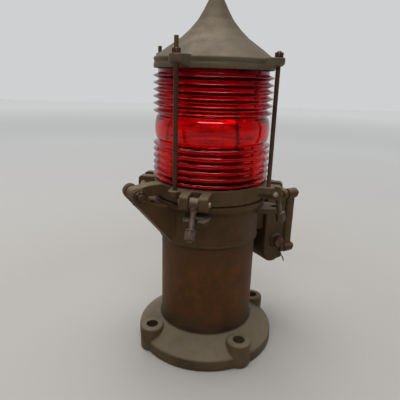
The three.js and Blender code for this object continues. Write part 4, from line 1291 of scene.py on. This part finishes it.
# A softbox above the viewer, which only the glass mirrors: it draws the highlight on the belt's shoulder.
softbox = bpy.data.lights.new("glass_softbox", "AREA")
softbox.shape, softbox.size, softbox.size_y, softbox.energy = "RECTANGLE", 1.3, 0.8, 42
softbox_holder = bpy.data.objects.new("glass_softbox", softbox)
softbox_holder.location = (-0.1, -1.15, 1.45)
softbox_holder.rotation_euler = (
    Vector((0, 0, 0.37)) - softbox_holder.location
).to_track_quat("-Z", "Y").to_euler()
softbox_holder.visible_diffuse = False
softbox_holder.visible_transmission = False
bpy.context.scene.collection.objects.link(softbox_holder)
glassware = bpy.data.collections.new("glassware")
glassware.objects.link(globe)
softbox_holder.light_linking.receiver_collection = glassware


# ---- Lamp: a pierced shelf, a turned post, a glazed ceramic holder, a brass screw shell and a clear tubular
# bulb with its glass stem and filament, centred on the belt of the globe.
DECK_Z = SEAM_Z - 18
FOCUS = GLOBE[0] + LENS_H * 0.485
HOLDER_Z = FOCUS - 84
shelf = spun(
    "lamp_deck", [(BORE_R - 0.4, DECK_Z + 0.35, 0.6), (BORE_R - 0.4, DECK_Z + 3.55, 0.8)], 0.6, 128,
)
cut(
    shelf,
    *[
        slab("wire_hole", circle(42, 0, WIRE_WAY_R, 40), DECK_Z - 5, DECK_Z + 9, "z", 0, 60 + 120 * k)
        for k in range(3)
    ],
)
finish_faces(shelf, head_bronze)
stand_for(shelf, "housing", "bronze_head", "lamp_shelf")
post = spun(
    "lamp_pillar",
    [
        (23.9, DECK_Z + 3.95, 0.6), (23.9, DECK_Z + 7.8, 1.2), (13, DECK_Z + 9.8, 2.4),
        (11, HOLDER_Z - 6.2, 3), (14.9, HOLDER_Z - 0.35, 0.8),
    ],
    1.0, 72,
)
finish_faces(post, head_bronze)
stand_for(post, "housing", "bronze_head", "lamp_post")
holder = spun(
    "lamp_holder",
    [
        (16.8, HOLDER_Z + 0.05, 1), (18.9, HOLDER_Z + 3.2, 1.6), (18.9, HOLDER_Z + 12, 0.3),
        (18.1, HOLDER_Z + 12.7, 0.3), (18.1, HOLDER_Z + 14, 0.3), (18.9, HOLDER_Z + 14.7, 0.3),
        (18.9, HOLDER_Z + 21, 1.2), (17.4, HOLDER_Z + 22.9, 1.0), (14.1, HOLDER_Z + 22.9, 0.8),
        (14.1, HOLDER_Z + 5, 0.5),
    ],
    0.4, 80,
)
glaze = mottled(
    "glazed_ceramic", 90.0, 6.0, (0.4, 0.7), (0.78, 0.75, 0.68, 1), (0.60, 0.55, 0.46, 1), (0.12, 0.3),
)[0]
finish_faces(holder, glaze)
stand_for(holder, "housing", "ceramic", "lamp_socket")
base_z = HOLDER_Z + 5.3
shell_wall = [(9, base_z + 0.05, 0.4), (13, base_z + 3, 0.4)]
for k in range(5):
    shell_wall += [(13.1, base_z + 5.0 + 3 * k, 0.9), (12.1, base_z + 6.5 + 3 * k, 0.9)]
shell_wall += [(13.1, base_z + 20, 0.8), (13.1, base_z + 21.95, 0.4)]
shell = spun("lamp_screw_shell", shell_wall, 0.5, 64)
finish_faces(shell, bright_brass)
stand_for(shell, "housing", "bright_brass", "lamp_shell")
neck_z = base_z + 22.3
bulb = turned(
    "lamp_envelope",
    fillet(
        [
            (10.9, neck_z + 0.05, 0.3), (12.7, neck_z + 0.05, 0.3), (13.3, neck_z + 6, 6),
            (17.4, neck_z + 13, 8), (18.9, neck_z + 20, 16), (18.9, neck_z + 78, 16),
            (16.9, neck_z + 86, 10), (11.9, neck_z + 91.5, 10), (6, neck_z + 93.9, 10),
        ],
        1.0, 6,
    )
    + [(0, neck_z + 94.7), (0, neck_z + 93.5)]
    + fillet(
        [
            (5.7, neck_z + 92.7, 10), (11.3, neck_z + 90.4, 10), (15.9, neck_z + 85.3, 10),
            (17.7, neck_z + 77.6, 16), (17.7, neck_z + 20.4, 16), (16.3, neck_z + 13.8, 8),
            (12.2, neck_z + 6.6, 6), (10.9, neck_z + 0.05, 0.3),
        ],
        1.0, 6,
    ),
    96,
)
thin_glass, tree, skin = blank("bulb_glass")
skin.inputs["Base Color"].default_value = (0.97, 0.98, 0.98, 1)
skin.inputs["Transmission Weight"].default_value = 1.0
skin.inputs["IOR"].default_value = 1.45
smear = node(tree, "TexNoise", Scale=60.0, Detail=4.0)
tree.links.new(node(tree, "TexCoord").outputs["Object"], smear.inputs["Vector"])
tree.links.new(span(tree, smear.outputs[0], 0.45, 0.8, 0.01, 0.12), skin.inputs["Roughness"])
finish_faces(bulb, thin_glass, 80)
stand_for(bulb, "housing", "bulb_glass", "lamp_bulb")
stem = spun(
    "lamp_glass_stem",
    [(5.9, neck_z + 0.05, 0.5), (4, neck_z + 12, 3), (1.6, neck_z + 40, 3), (1.3, FOCUS - 1.5, 0.5)],
    0.5, 32,
)
finish_faces(stem, thin_glass, 80)
stand_for(stem, "housing", "ceramic", "lamp_stem")
coil = [(0.9 * math.cos(t * 0.9), -10.9 + 21.8 * t / 200, 0.9 * math.sin(t * 0.9)) for t in range(201)]
filament = wire("lamp_coil", [coil[k] for k in range(0, 201, 2)], 0.16, 6)
filament.data.transform(Matrix.Translation((0, 0, FOCUS * MM)))
tungsten, tree, skin = blank("drawn_tungsten")
skin.inputs["Metallic"].default_value = 0.9
drawn = node(tree, "TexNoise", Scale=900.0, Detail=2.0)
tree.links.new(node(tree, "TexCoord").outputs["Object"], drawn.inputs["Vector"])
tree.links.new(
    blend_colours(tree, drawn.outputs[0], (0.20, 0.20, 0.21, 1), (0.45, 0.45, 0.46, 1)),
    skin.inputs["Base Color"],
)
tree.links.new(span(tree, drawn.outputs[0], 0.3, 0.7, 0.3, 0.5), skin.inputs["Roughness"])
finish_faces(filament, tungsten, 80)
stand_for(filament, "housing", "filament", "lamp_filament")
